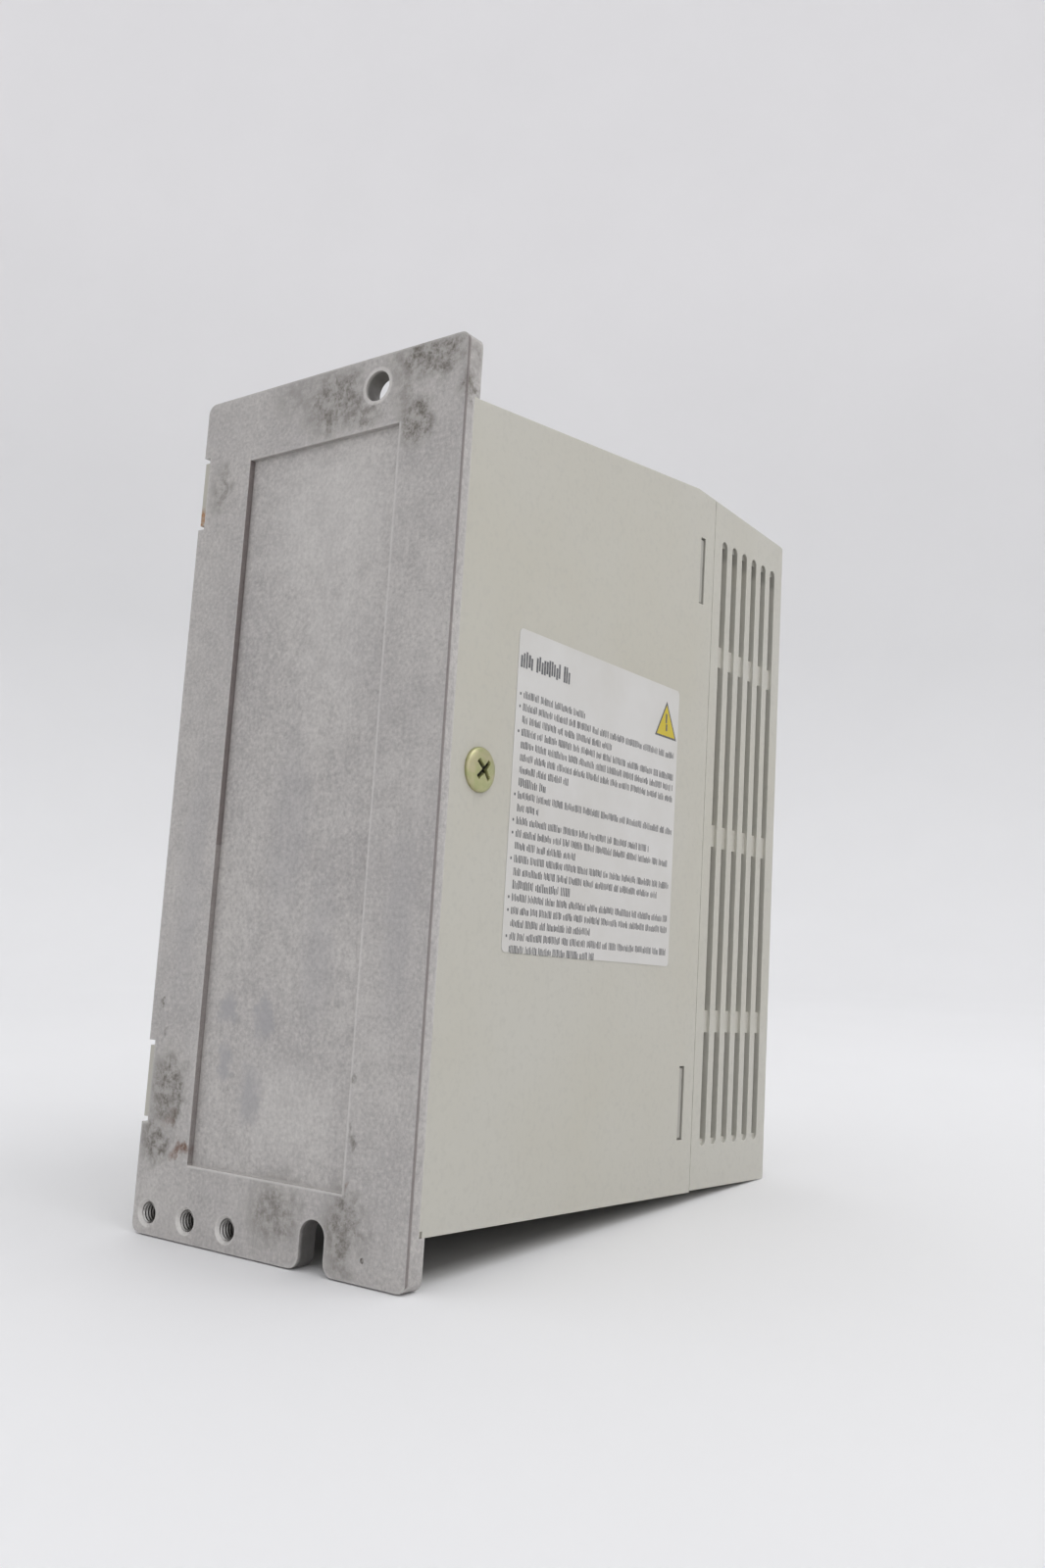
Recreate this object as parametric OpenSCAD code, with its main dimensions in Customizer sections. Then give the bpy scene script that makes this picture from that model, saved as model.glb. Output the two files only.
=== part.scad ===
// Book-format servo drive: a finned die-cast plate, a plastic case and cover, and two boards inside.
// X is the width, +Z is up, and the mounting face is the plane y = 0 with the front towards -Y.
// Depths are counted from the mounting face towards the front, so depth d lies at y = -d.

/* [Mounting plate] */
// Width of the plate and of the case
plate_w = 70; // [70:0.5:72]
// Height of the plate
plate_h = 168; // [167:0.5:170]
// Thickness of the plate
plate_t = 4; // [3.8:0.1:4.4]
// Diameter of the two fixing holes
fixing_d = 6; // [5:0.1:6.6]
// Distance of the fixing holes from the plate's ends
fixing_from_end = 6; // [5.5:0.1:6.5]
// Distance of the fixing holes from the plate's -X edge
fixing_from_side = 22; // [20:0.5:24]
// Depth of the sunk panel in the mounting face
panel_deep = 1; // [0.5:0.1:1.4]
// Pitch of the three tapped earth holes
earth_pitch = 11; // [10.5:0.1:11.2]

/* [Case] */
// Depth of the case and its front cover
case_depth = 130; // [129.5:0.1:131]
// Depth of the seam between the case and the cover
seam_depth = 93.4; // [93:0.1:94]
// Height of the case's underside above the plate's lower edge
case_bottom = 8.8; // [8.6:0.1:9]
// Height of the case's top where it meets the plate
top_at_plate = 156.2; // [155.8:0.1:156.6]
// Height of the case's top at its highest line
top_at_peak = 166.3; // [166:0.1:167]
// Depth of that highest line
peak_depth = 85; // [84:0.5:86]
// Height of the cover's top at its front edge
top_at_front = 165; // [164.5:0.1:165.5]
// Wall thickness of the case and the cover
wall = 2; // [1.9:0.1:2.1]

/* [Ventilation] */
// Width of each ventilation slot
vent_w = 2.6; // [2.2:0.1:3]
// Pitch of the ventilation slots
vent_pitch = 5; // [4.9:0.1:5]
// Number of slot columns in each side of the cover
vent_columns = 6; // [4:1:6]

/* [Doors and buttons] */
// Depth from the mounting face to the doors' outer faces
door_depth = 135; // [134.8:0.1:135.5]
// Travel of each push button
button_travel = 0.5; // [0.3:0.05:0.6]

/* [Hidden] */
$fn = 48;

// Plate
half_w = plate_w / 2;
fixing_x = -half_w + fixing_from_side;
step_depth = 2.5;
lip = wall;
corner_r = 2;
mouth_r = 2.4;
earth_x = [for (i = [0:2]) half_w - 4 - earth_pitch * i];
earth_z = 4;
earth_r = 2;
earth_mouth_r = 2.6;
boss_depth = 7;
hook_z = [[141.8, 155.4], [21.8, 35.5]];
hook_gap = 1;

// Fins and pedestals
fin_depth = 20;
fin_z = [14, 150];
fin_count = 11;
fin_pitch = 5.9;
fin_t = 1.8;
base_d = plate_t - 0.5;
screw_d = 10.5;
screw_z = 88.9;
screw_pad = 7;
panel_x = [-19.3, 20.7];
panel_z = [14.1, 153.4];

// Case
seam_gap = 0.2;
cover_bottom = case_bottom + 0.3;
window_d = [87, 89.1];
window_z = [[139.8, 155.4], [20.2, 35.9]];
rise = (top_at_peak - top_at_plate) / (peak_depth - plate_t);
fall = (top_at_peak - top_at_front) / (case_depth - peak_depth);
top_at_seam = top_at_peak - fall * (seam_depth - peak_depth);

// Ventilation
vent_z = [18.5, 157.5];
vent_first_d = seam_depth + 5;
bar_z = [[43.2, 48.1], [85.2, 90.2], [127.3, 132.2]];
bar_sunk = 0.8;
top_vent_first_d = 12;
top_vent_count = 14;
end_vent_x = [2, 28];

// Front face and its openings
face_in = case_depth - wall;
screen_x = [-20, 8];
screen_z = [142, 153];
bay_x = [12, 22];
bay_z = [138, 152];
button_x = [-17, -8, 1, 10];
button_z = 132;
button_r = 2;
button_gap = 0.3;
socket_x = 14;
socket_z = [104, 70];
socket_half = [5.8, 16];
lamp_z = 87;
lamp_r = 2.5;
terminal_x = [-24, 24];
terminal_z = [15, 48];
header_x = [-14, 14];
header_d = [99.8, 112.4];

// Doors and hinges
door_gap = 0.3;
door_r = 2.35;
pin_r = 1;
pin_gap = 0.08;
hinge_d = door_depth - door_r;
ear_w = 2.3;
door_half = 26;
door_bottom = 123;
door_hinge_z = 159.2;
lid_wall = 1.6;
flap_hinge_x = -27.3;
flap_z = [14, 49.4];

// Boards
power_d = 32;
control_d = 112;
board_t = 1.6;
board_half = 31;
post_x = 27;
post_z = [18, 148];
post_r = 3.175;
stud_r = 1.45;
tapped_r = 1.5;
power_front = power_d + board_t;
control_front = control_d + board_t;
pad_t = 0.3;
switch_h = 3.5;
plunger_h = 4.3;
stem_gap = 0.4;
pedestal_x = 21;
pedestal_z = [66, 116];
bridge_half = 14;
bridge_z = [127, 145];
module_screw_z = [70.5, 111.5];
bridge_screw_z = 136;
column_x = [-15.2, 0, 15.2];
row_z = [24, 39];

// A block between two widths, two depths and two heights
module block(x, d, z) {
    translate([x[0], -d[1], z[0]])
        cube([x[1] - x[0], d[1] - d[0], z[1] - z[0]]);
}

// A round bar along the depth, the width or the height; r2 makes it taper
module bar_d(x, z, d, r, r2 = 0) {
    translate([x, -d[0], z])
        rotate([90, 0, 0])
            cylinder(r1 = r, r2 = r2 > 0 ? r2 : r, h = d[1] - d[0]);
}
module bar_x(d, z, x, r) {
    translate([x[0], -d, z])
        rotate([0, 90, 0])
            cylinder(r = r, h = x[1] - x[0]);
}
module bar_z(x, d, z, r) {
    translate([x, -d, z[0]])
        cylinder(r = r, h = z[1] - z[0]);
}

// An outline of depth and height points, carried across the width
module side_prism(x, points) {
    translate([x[1], 0, 0])
        rotate([90, 0, -90])
            linear_extrude(x[1] - x[0])
                polygon(points);
}
// An outline of width and height points, carried along the depth
module front_prism(d, points) {
    translate([0, -d[0], 0])
        rotate([90, 0, 0])
            linear_extrude(d[1] - d[0])
                polygon(points);
}
// An outline of width and depth points, carried up the height
module plan_prism(z, points) {
    translate([0, 0, z[0]])
        mirror([0, 1, 0])
            linear_extrude(z[1] - z[0])
                polygon(points);
}

// Points of an arc, and of a rectangle whose corners are such arcs
function arc(u, v, r, from, to, steps = 6) =
    [for (i = [0:steps]) let (a = from + (to - from) * i / steps) [u + r * cos(a), v + r * sin(a)]];
function round_rect(u, v, r) = concat(
    arc(u[1] - r, v[0] + r, r, -90, 0),
    arc(u[1] - r, v[1] - r, r, 0, 90),
    arc(u[0] + r, v[1] - r, r, 90, 180),
    arc(u[0] + r, v[0] + r, r, 180, 270)
);
// Points of a slot with full round ends, running along the second coordinate
function slot(u, v, width) = concat(
    arc(u, v[1] - width / 2, width / 2, 0, 180, 8),
    arc(u, v[0] + width / 2, width / 2, 180, 360, 8)
);

// Height of the case's top at a depth
function top_at(d) = d < peak_depth
    ? top_at_peak - rise * (peak_depth - d)
    : top_at_peak - fall * (d - peak_depth);

// Die-cast heatsink: the mounting plate, its fins, pedestals and bosses are one casting
module earth_hole(x) {
    bar_d(x, earth_z, [-1, boss_depth + 1], earth_r);
    bar_d(x, earth_z, [-0.01, earth_mouth_r - earth_r], earth_mouth_r, earth_r);
}
// The open end of the lower fixing slot, flaring to its rounded corners
module slot_mouth() {
    half = fixing_d / 2;
    block([fixing_x - half, fixing_x + half], [-1, plate_t + 1], [-1, fixing_from_end]);
    for (side = [0, 1])
        translate([fixing_x, 0, 0])
            mirror([side, 0, 0])
                difference() {
                    block([half - 0.1, half + mouth_r], [-1, plate_t + 1], [-1, mouth_r]);
                    bar_d(half + mouth_r, mouth_r, [-2, plate_t + 2], mouth_r);
                }
}
module heatsink() {
    color([0.66, 0.65, 0.63])
        difference() {
            union() {
                difference() {
                    front_prism([0, plate_t], round_rect([-half_w, half_w], [0, plate_h], corner_r));
                    for (side = [-1, 1])
                        translate([side * half_w, 0, 0])
                            block([-lip, lip], [step_depth, plate_t + 1], [case_bottom, top_at_plate]);
                }
                for (i = [0:fin_count - 1])
                    translate([(i - (fin_count - 1) / 2) * fin_pitch, 0, 0])
                        block([-fin_t / 2, fin_t / 2], [base_d, fin_depth], fin_z);
                block([-pedestal_x, pedestal_x], [base_d, fin_depth], pedestal_z);
                block([-bridge_half - 1, bridge_half + 1], [base_d, fin_depth], bridge_z);
                block([-half_w + wall + 0.1, -pedestal_x - 1], [base_d, fin_depth - 2],
                    [screw_z - screw_pad, screw_z + screw_pad]);
                block([half_w - 31, half_w - 0.6], [base_d, boss_depth], [0.4, case_bottom - 0.4]);
                for (x = [-post_x, post_x], z = post_z)
                    bar_d(x, z, [base_d, fin_depth], 4);
            }
            block(panel_x, [-1, panel_deep], panel_z);
            bar_d(fixing_x, plate_h - fixing_from_end, [-1, plate_t + 1], fixing_d / 2);
            bar_d(fixing_x, fixing_from_end, [-1, plate_t + 1], fixing_d / 2);
            slot_mouth();
            bar_d(-25, 4, [-1, 0.5], 0.5);
            for (x = earth_x)
                earth_hole(x);
            for (z = hook_z)
                block([half_w - 1.7, half_w + 1], [-1, plate_t + 1], [z[0] - hook_gap, z[1] + hook_gap]);
            for (x = [-post_x, post_x], z = post_z)
                bar_d(x, z, [fin_depth - 6.5, fin_depth + 1], tapped_r);
            for (z = concat(module_screw_z, bridge_screw_z))
                bar_d(0, z, [fin_depth - 8, fin_depth + 1], tapped_r);
            bar_x(screw_d, screw_z, [-half_w, -half_w + 11.5], 2);
        }
}

// Two slots side by side at one depth, through the case's top or through both of its ends
module end_vents(d, z) {
    for (side = [0, 1])
        mirror([side, 0, 0])
            rotate([0, 0, 90])
                translate([0, 0, z[0]])
                    linear_extrude(z[1] - z[0])
                        polygon(slot(-d, [-end_vent_x[1], -end_vent_x[0]], vent_w));
}

// Rear case: a moulded sleeve, open at the plate and at the seam
module rear_case() {
    outside = [
        [plate_t, case_bottom], [seam_depth - seam_gap, case_bottom],
        [seam_depth - seam_gap, top_at_seam], [peak_depth, top_at_peak], [plate_t, top_at(plate_t)]
    ];
    inside = [
        [0, case_bottom + wall], [seam_depth + 1, case_bottom + wall],
        [seam_depth + 1, top_at_seam - wall], [peak_depth, top_at_peak - wall], [0, top_at(0) - wall]
    ];
    color([0.76, 0.75, 0.70])
        difference() {
            union() {
                side_prism([-half_w, half_w], outside);
                for (side = [-1, 1])
                    translate([side * (half_w - wall / 2), 0, 0])
                        block([-wall / 2, wall / 2], [step_depth, plate_t + 0.5],
                            [case_bottom, top_at_plate]);
                for (z = hook_z)
                    block([half_w - 1.6, half_w], [0.4, step_depth + 0.5], z);
            }
            side_prism([-half_w + wall, half_w - wall], inside);
            for (z = window_z)
                block([-half_w - 1, half_w + 1], window_d, z);
            for (i = [0:top_vent_count - 1])
                end_vents(top_vent_first_d + i * vent_pitch, [case_bottom - 2, plate_h]);
            bar_x(screw_d, screw_z, [-half_w - 1, -half_w + wall + 1], 2.2);
            block([-half_w - 1, -half_w + 0.5], [2, step_depth + 0.8], [case_bottom - 1, case_bottom + 1.1]);
        }
}

// Front cover: a moulded cap that snaps into the rear case with four latch arms
module latch_arm(side, z) {
    inner = half_w - wall;
    mirror([side > 0 ? 0 : 1, 0, 0]) {
        block([inner - 1.7, inner - 0.2], [window_d[0] - 3, seam_depth + 3], [z[0] + 1, z[1] - 1]);
        block([inner - 0.5, half_w - 0.4], [window_d[0] + 0.2, window_d[1] - 0.3], [z[0] + 0.4, z[1] - 0.4]);
        block([inner - 1.7, inner + 0.5], [seam_depth + 1, seam_depth + 3], [z[0] + 1, z[1] - 1]);
    }
}
module hinge_ear_x(x) {
    bar_x(hinge_d, door_hinge_z, x, door_r);
    block(x, [case_depth - 0.5, hinge_d], [door_hinge_z - door_r, door_hinge_z + door_r]);
}
module hinge_ear_z(z) {
    bar_z(flap_hinge_x, hinge_d, z, door_r);
    block([flap_hinge_x - door_r, flap_hinge_x + door_r], [case_depth - 0.5, hinge_d], z);
}
module cover_shell() {
    outline = concat(
        [[seam_depth, cover_bottom]],
        arc(case_depth - 2, cover_bottom + 2, 2, -90, 0),
        arc(case_depth - 2.5, top_at_front - 2.5, 2.5, 0, 90),
        [[seam_depth, top_at_seam]]
    );
    plan = concat(
        [[-half_w, seam_depth - 1]],
        [[half_w, seam_depth - 1]],
        arc(half_w - 1.8, case_depth - 1.8, 1.8, 0, 90),
        arc(-half_w + 1.8, case_depth - 1.8, 1.8, 90, 180)
    );
    hollow = [
        [seam_depth - 1, cover_bottom + wall], [face_in, cover_bottom + wall],
        [face_in, top_at(face_in) - wall - 0.5], [seam_depth - 1, top_at_seam - wall]
    ];
    difference() {
        intersection() {
            side_prism([-half_w, half_w], outline);
            plan_prism([0, plate_h], plan);
        }
        side_prism([-half_w + wall, half_w - wall], hollow);
        for (i = [0:vent_columns - 1]) {
            side_vent(vent_first_d + i * vent_pitch);
            end_vents(vent_first_d + i * vent_pitch, [top_at_front - 6, plate_h + 1]);
        }
    }
}
module side_vent(d) {
    through = [
        [vent_z[0] + vent_w / 2, bar_z[0][0]], [bar_z[0][1], bar_z[1][0]],
        [bar_z[1][1], bar_z[2][0]], [bar_z[2][1], vent_z[1] - vent_w / 2]
    ];
    for (side = [-1, 1])
        translate([side * half_w, 0, 0])
            side_prism([-bar_sunk, bar_sunk], slot(d, vent_z, vent_w));
    for (z = through)
        block([-half_w - 1, half_w + 1], [d - vent_w / 2, d + vent_w / 2], z);
}
module front_cover() {
    through = [face_in - 1, case_depth + 1];
    ear_x = door_half + door_gap;
    ear_z = [flap_z[0] - door_gap, flap_z[1] + door_gap];
    color([0.77, 0.76, 0.71])
        difference() {
            union() {
                cover_shell();
                for (side = [-1, 1], z = window_z)
                    latch_arm(side, z);
                hinge_ear_x([ear_x, ear_x + ear_w]);
                hinge_ear_x([-ear_x - ear_w, -ear_x]);
                hinge_ear_z([ear_z[0] - ear_w, ear_z[0]]);
                hinge_ear_z([ear_z[1], ear_z[1] + ear_w]);
            }
            block(screen_x, through, screen_z);
            block(bay_x, through, bay_z);
            for (x = button_x)
                bar_d(x, button_z, through, button_r + button_gap);
            for (x = [-socket_x, socket_x], z = socket_z)
                block([x - socket_half[0], x + socket_half[0]], through,
                    [z - socket_half[1], z + socket_half[1]]);
            bar_d(0, lamp_z, through, lamp_r + 0.1);
            block(terminal_x, through, terminal_z);
            block(header_x, header_d, [cover_bottom - 1, cover_bottom + wall + 1]);
            bar_x(hinge_d, door_hinge_z, [-ear_x - ear_w - 1, ear_x + ear_w + 1], pin_r + pin_gap);
            bar_z(flap_hinge_x, hinge_d, [ear_z[0] - ear_w - 1, ear_z[1] + ear_w + 1], pin_r + pin_gap);
        }
}

// Case screw: low truss head with a cross recess, through the case into the heatsink
module case_screw() {
    color([0.66, 0.62, 0.32])
        difference() {
            union() {
                translate([-half_w, -screw_d, screw_z])
                    rotate([0, -90, 0]) {
                        cylinder(r = 4.1, h = 0.5);
                        translate([0, 0, 0.5])
                            cylinder(r1 = 4.1, r2 = 2.6, h = 0.9);
                    }
                bar_x(screw_d, screw_z, [-half_w, -half_w + 10.5], 1.95);
            }
            for (turn = [45, 135])
                translate([-half_w - 0.9, -screw_d, screw_z])
                    rotate([turn, 0, 0])
                        cube([1.6, 4.2, 0.8], center = true);
        }
}

// Printed film labels, one on each side of the case
film_t = 0.12;
module side_label() {
    color([0.86, 0.86, 0.84])
        side_prism([-half_w - film_t, -half_w], round_rect([20.2, 79.8], [57.1, 117.5], 1));
}
module rating_label() {
    color([0.80, 0.81, 0.82])
        side_prism([half_w, half_w + film_t], round_rect([24, 74], [62, 112], 1));
}

// Display door: a shallow lid on two stub pins, opening upwards
module display_door() {
    color([0.78, 0.77, 0.72])
        difference() {
            union() {
                front_prism([case_depth + door_gap, door_depth],
                    round_rect([-door_half, door_half], [door_bottom, door_hinge_z], 1.2));
                bar_x(hinge_d, door_hinge_z, [-door_half, door_half], door_r);
                bar_x(hinge_d, door_hinge_z, [-door_half - ear_w, door_half + ear_w], pin_r);
                block([-8, 8], [door_depth - 1.4, door_depth], [door_bottom - 1.2, door_bottom + 1]);
            }
            block([-door_half + lid_wall, door_half - lid_wall], [case_depth - 1, door_depth - 1.8],
                [door_bottom + lid_wall, door_hinge_z - door_r - 0.6]);
        }
}

// Terminal cover: a shallow lid with cable notches, opening sideways
module terminal_cover() {
    color([0.78, 0.77, 0.72])
        difference() {
            union() {
                front_prism([case_depth + door_gap, door_depth],
                    round_rect([flap_hinge_x, door_half], flap_z, 1.2));
                bar_z(flap_hinge_x, hinge_d, flap_z, door_r);
                bar_z(flap_hinge_x, hinge_d, [flap_z[0] - ear_w, flap_z[1] + ear_w], pin_r);
                block([door_half - 1, door_half + 1.2], [door_depth - 1.4, door_depth], [26, 38]);
            }
            block([flap_hinge_x + door_r + 0.6, door_half - lid_wall], [case_depth - 1, door_depth - 1.8],
                [flap_z[0] + lid_wall, flap_z[1] - lid_wall]);
            for (x = column_x)
                block([x - 5, x + 5], [case_depth - 1, door_depth - 2.6],
                    [flap_z[0] - 1, flap_z[0] + lid_wall + 1]);
        }
}

// Smoked window over the display, held by a flange behind the cover's face
module display_lens() {
    color([0.25, 0.05, 0.05, 0.7]) {
        block([screen_x[0] + 0.1, screen_x[1] - 0.1], [face_in, case_depth + 0.2],
            [screen_z[0] + 0.1, screen_z[1] - 0.1]);
        block([screen_x[0] - 1.2, screen_x[1] + 1.2], [face_in - 1.2, face_in],
            [screen_z[0] - 1.2, screen_z[1] + 1.2]);
    }
}

// Five-digit display block on the control board
module display_module() {
    color([0.12, 0.12, 0.13])
        block([screen_x[0] + 1, screen_x[1] - 1], [control_front, face_in - 2],
            [screen_z[0] - 0.5, screen_z[1] + 0.5]);
}

// Push buttons: round caps with a retaining flange and a stem towards the switch
stem_end = control_front + plunger_h + stem_gap + button_travel;
module push_button(x) {
    color([0.30, 0.31, 0.33]) {
        bar_d(x, button_z, [face_in - 1.6, case_depth + 1.2], button_r);
        bar_d(x, button_z, [face_in - 1.6, face_in - 0.7], button_r + 1);
        bar_d(x, button_z, [stem_end, face_in - 1.6], 1.2);
    }
}
module mode_button() {
    push_button(button_x[0]);
}
module up_button() {
    push_button(button_x[1]);
}
module down_button() {
    push_button(button_x[2]);
}
module set_button() {
    push_button(button_x[3]);
}

// Momentary switches behind the buttons
module tact_switches() {
    color([0.15, 0.15, 0.16])
        for (x = button_x) {
            block([x - 3, x + 3], [control_front, control_front + switch_h], [button_z - 3, button_z + 3]);
            bar_d(x, button_z, [control_front + switch_h, control_front + plunger_h], 1.7);
        }
}

// Charge lamp: a red lamp on two wires
module charge_lamp() {
    color([0.75, 0.10, 0.08]) {
        bar_d(0, lamp_z, [face_in - 6, case_depth - 0.5], lamp_r);
        bar_d(0, lamp_z, [case_depth - 0.5, case_depth + 0.8], lamp_r, lamp_r - 0.9);
        bar_d(0, lamp_z, [face_in - 7, face_in - 6], lamp_r + 0.4);
        for (x = [-1.27, 1.27])
            bar_d(x, lamp_z, [control_front, face_in - 7], 0.3);
    }
}

// Ribbon connector socket: a shrouded body with a short contact tongue
module ribbon_socket(x, z) {
    color([0.72, 0.73, 0.75])
        difference() {
            block([x - 5, x + 5], [control_front, case_depth + 0.6], [z - 15, z + 15]);
            block([x - 3.2, x + 3.2], [case_depth - 7.4, case_depth + 1], [z - 11.2, z + 11.2]);
        }
    color([0.1, 0.1, 0.1])
        block([x - 0.9, x + 0.9], [case_depth - 7.8, case_depth - 4.6], [z - 9.5, z + 9.5]);
}
module io_connector_a() {
    ribbon_socket(-socket_x, socket_z[0]);
}
module io_connector_b() {
    ribbon_socket(socket_x, socket_z[0]);
}
module encoder_connector() {
    ribbon_socket(-socket_x, socket_z[1]);
}
module serial_connector() {
    ribbon_socket(socket_x, socket_z[1]);
}

// Main terminals: a moulded block with six pockets, and a screw and a clamp plate in each
pocket_floor = case_depth - 8;
clamp_t = 1;
module main_terminal_block() {
    color([0.13, 0.13, 0.14])
        difference() {
            block([terminal_x[0] + 0.6, terminal_x[1] - 0.6], [control_front, case_depth - 0.6],
                [terminal_z[0] + 0.6, terminal_z[1] - 0.6]);
            for (x = column_x, z = row_z) {
                block([x - 6.4, x + 6.4], [pocket_floor, case_depth], [z - 6.6, z + 6.6]);
                bar_d(x, z, [pocket_floor - 7, pocket_floor + 1], 1.8);
            }
        }
}
module terminal_clamps() {
    color([0.78, 0.74, 0.60])
        for (x = column_x, z = row_z)
            difference() {
                block([x - 4.5, x + 4.5], [pocket_floor, pocket_floor + clamp_t], [z - 4.5, z + 4.5]);
                bar_d(x, z, [pocket_floor - 1, pocket_floor + clamp_t + 1], 1.8);
            }
}
module terminal_screws() {
    head_d = pocket_floor + clamp_t;
    color([0.72, 0.72, 0.74])
        for (x = column_x, z = row_z)
            difference() {
                union() {
                    bar_d(x, z, [head_d, head_d + 1.1], 3.3);
                    bar_d(x, z, [head_d + 1.1, head_d + 2], 3.3, 2.4);
                    bar_d(x, z, [pocket_floor - 6.5, head_d], 1.74);
                }
                for (turn = [0, 90])
                    translate([x, -head_d - 1.6, z])
                        rotate([0, turn, 0])
                            cube([4, 1.4, 0.8], center = true);
            }
}

// Header for the control-circuit supply, facing down through the cover
module control_supply_header() {
    color([0.16, 0.34, 0.22])
        difference() {
            block([header_x[0] + 0.5, header_x[1] - 0.5], [header_d[0] + 0.4, control_d],
                [cover_bottom + 0.1, cover_bottom + 11]);
            block([header_x[0] + 1.4, header_x[1] - 1.4], [header_d[0] + 1.6, control_d - 1.5],
                [cover_bottom - 1, cover_bottom + 9]);
        }
    color([0.78, 0.74, 0.60])
        for (i = [-2:2])
            block([i * 5 - 0.5, i * 5 + 0.5], [105.5, 106.5], [cover_bottom + 5.6, cover_bottom + 9.5]);
}

// Two-pin header that the encoder battery plugs into
module battery_connector() {
    color([0.85, 0.84, 0.80])
        difference() {
            block([13.5, 20.5], [control_front, control_front + 8], [142, 148]);
            block([14.4, 19.6], [control_front + 2.5, control_front + 9], [143, 147.6]);
        }
}

// Printed boards, each a plate with its fixing holes
module printed_board(d, z) {
    difference() {
        block([-board_half, board_half], [d, d + board_t], z);
        for (x = [-post_x, post_x], h = post_z)
            bar_d(x, h, [d - 1, d + board_t + 1], stud_r + 0.15);
    }
}
module control_board() {
    color([0.10, 0.32, 0.18])
        printed_board(control_d, [13.5, 158]);
}
module power_board() {
    color([0.12, 0.36, 0.20])
        printed_board(power_d, [14, 153]);
}

// Large chips on the control board's rear face
module processor_chips() {
    color([0.10, 0.10, 0.11]) {
        block([-14, 14], [control_d - 2.8, control_d], [88, 116]);
        block([-22, -8], [control_d - 2.2, control_d], [62, 76]);
        block([6, 20], [control_d - 1.8, control_d], [124, 134]);
    }
}

// Power semiconductors on the heatsink's pedestals, with their pads and screws
module thermal_pads() {
    color([0.88, 0.88, 0.90])
        difference() {
            union() {
                block([-20, 20], [fin_depth, fin_depth + pad_t], [pedestal_z[0] + 1, pedestal_z[1] - 1]);
                block([-bridge_half, bridge_half], [fin_depth, fin_depth + pad_t], bridge_z);
            }
            for (z = concat(module_screw_z, bridge_screw_z))
                bar_d(0, z, [fin_depth - 1, fin_depth + 1], 1.7);
        }
}
module power_module() {
    color([0.11, 0.11, 0.12])
        difference() {
            block([-20, 20], [fin_depth + pad_t, fin_depth + 7], [pedestal_z[0] + 2, pedestal_z[1] - 2]);
            for (z = module_screw_z)
                bar_d(0, z, [fin_depth - 1, fin_depth + 8], 1.7);
        }
    color([0.80, 0.80, 0.80])
        for (x = [-18.5, 18.5], i = [0:9])
            block([x - 0.4, x + 0.4], [fin_depth + 7, power_d], [72 + i * 4, 72.8 + i * 4]);
}
module bridge_rectifier() {
    color([0.12, 0.12, 0.13])
        difference() {
            block([-bridge_half, bridge_half], [fin_depth + pad_t, fin_depth + 5], bridge_z);
            bar_d(0, bridge_screw_z, [fin_depth - 1, fin_depth + 6], 1.7);
        }
    color([0.80, 0.80, 0.80])
        for (x = [-10.5, -3.5, 3.5, 10.5])
            block([x - 0.4, x + 0.4], [fin_depth + 5, power_d], [128.4, 129.6]);
}
module fixing_screw(z, d) {
    bar_d(0, z, [d, d + 2], 2.75);
    bar_d(0, z, [fin_depth - 6, d], stud_r);
}
module module_screws() {
    color([0.74, 0.74, 0.76]) {
        for (z = module_screw_z)
            fixing_screw(z, fin_depth + 7);
        fixing_screw(bridge_screw_z, fin_depth + 5);
    }
}

// Large components on the power board's front face
module smoothing_capacitors() {
    color([0.13, 0.15, 0.22])
        for (z = [102, 130])
            bar_d(15, z, [power_front, power_front + 46], 12.5);
}
module inrush_relay() {
    color([0.75, 0.72, 0.62])
        block([-27, -8], [power_front, power_front + 16], [66, 80]);
}
module switching_transformer() {
    color([0.20, 0.18, 0.16])
        union() {
            block([-28, -6], [power_front, power_front + 3], [118, 140]);
            block([-28, -6], [power_front + 17, power_front + 20], [118, 140]);
            block([-24, -10], [power_front + 3, power_front + 17], [122, 136]);
        }
}
module line_choke() {
    color([0.70, 0.42, 0.20])
        difference() {
            bar_d(-16, 97, [power_front, power_front + 12], 11.5);
            bar_d(-16, 97, [power_front - 1, power_front + 13], 5);
        }
}
module current_sensors() {
    color([0.14, 0.14, 0.15])
        for (x = [6, 18])
            block([x, x + 10], [power_front, power_front + 12], [70, 84]);
}
module brake_resistor() {
    color([0.86, 0.85, 0.80])
        block([-28, 18], [power_front, power_front + 10], [50, 60]);
}
module line_fuse() {
    color([0.80, 0.80, 0.78]) {
        bar_x(power_front + 4, 63.2, [-7, 13], 2.5);
        for (x = [[-8, -2], [8, 14]])
            block(x, [power_front, power_front + 1.6], [61.2, 65.2]);
    }
}

// Threaded spacers and pillars that carry the two boards, and the screws at their front ends
module board_spacers() {
    color([0.80, 0.68, 0.38])
        for (x = [-post_x, post_x], z = post_z) {
            translate([x, -fin_depth, z])
                rotate([90, 0, 0])
                    cylinder(r = post_r, h = power_d - fin_depth, $fn = 6);
            bar_d(x, z, [fin_depth - 6, power_front + 5], stud_r);
        }
}
module board_pillars() {
    color([0.80, 0.68, 0.38])
        for (x = [-post_x, post_x], z = post_z)
            difference() {
                translate([x, -power_front, z])
                    rotate([90, 0, 0])
                        cylinder(r = post_r, h = control_d - power_front, $fn = 6);
                bar_d(x, z, [power_front - 1, power_front + 6], tapped_r);
                bar_d(x, z, [control_d - 8, control_d + 1], tapped_r);
            }
}
module board_screws() {
    color([0.74, 0.74, 0.76])
        for (x = [-post_x, post_x], z = post_z) {
            bar_d(x, z, [control_front, control_front + 2], 2.75);
            bar_d(x, z, [control_d - 6, control_front], stud_r);
        }
}

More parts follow.
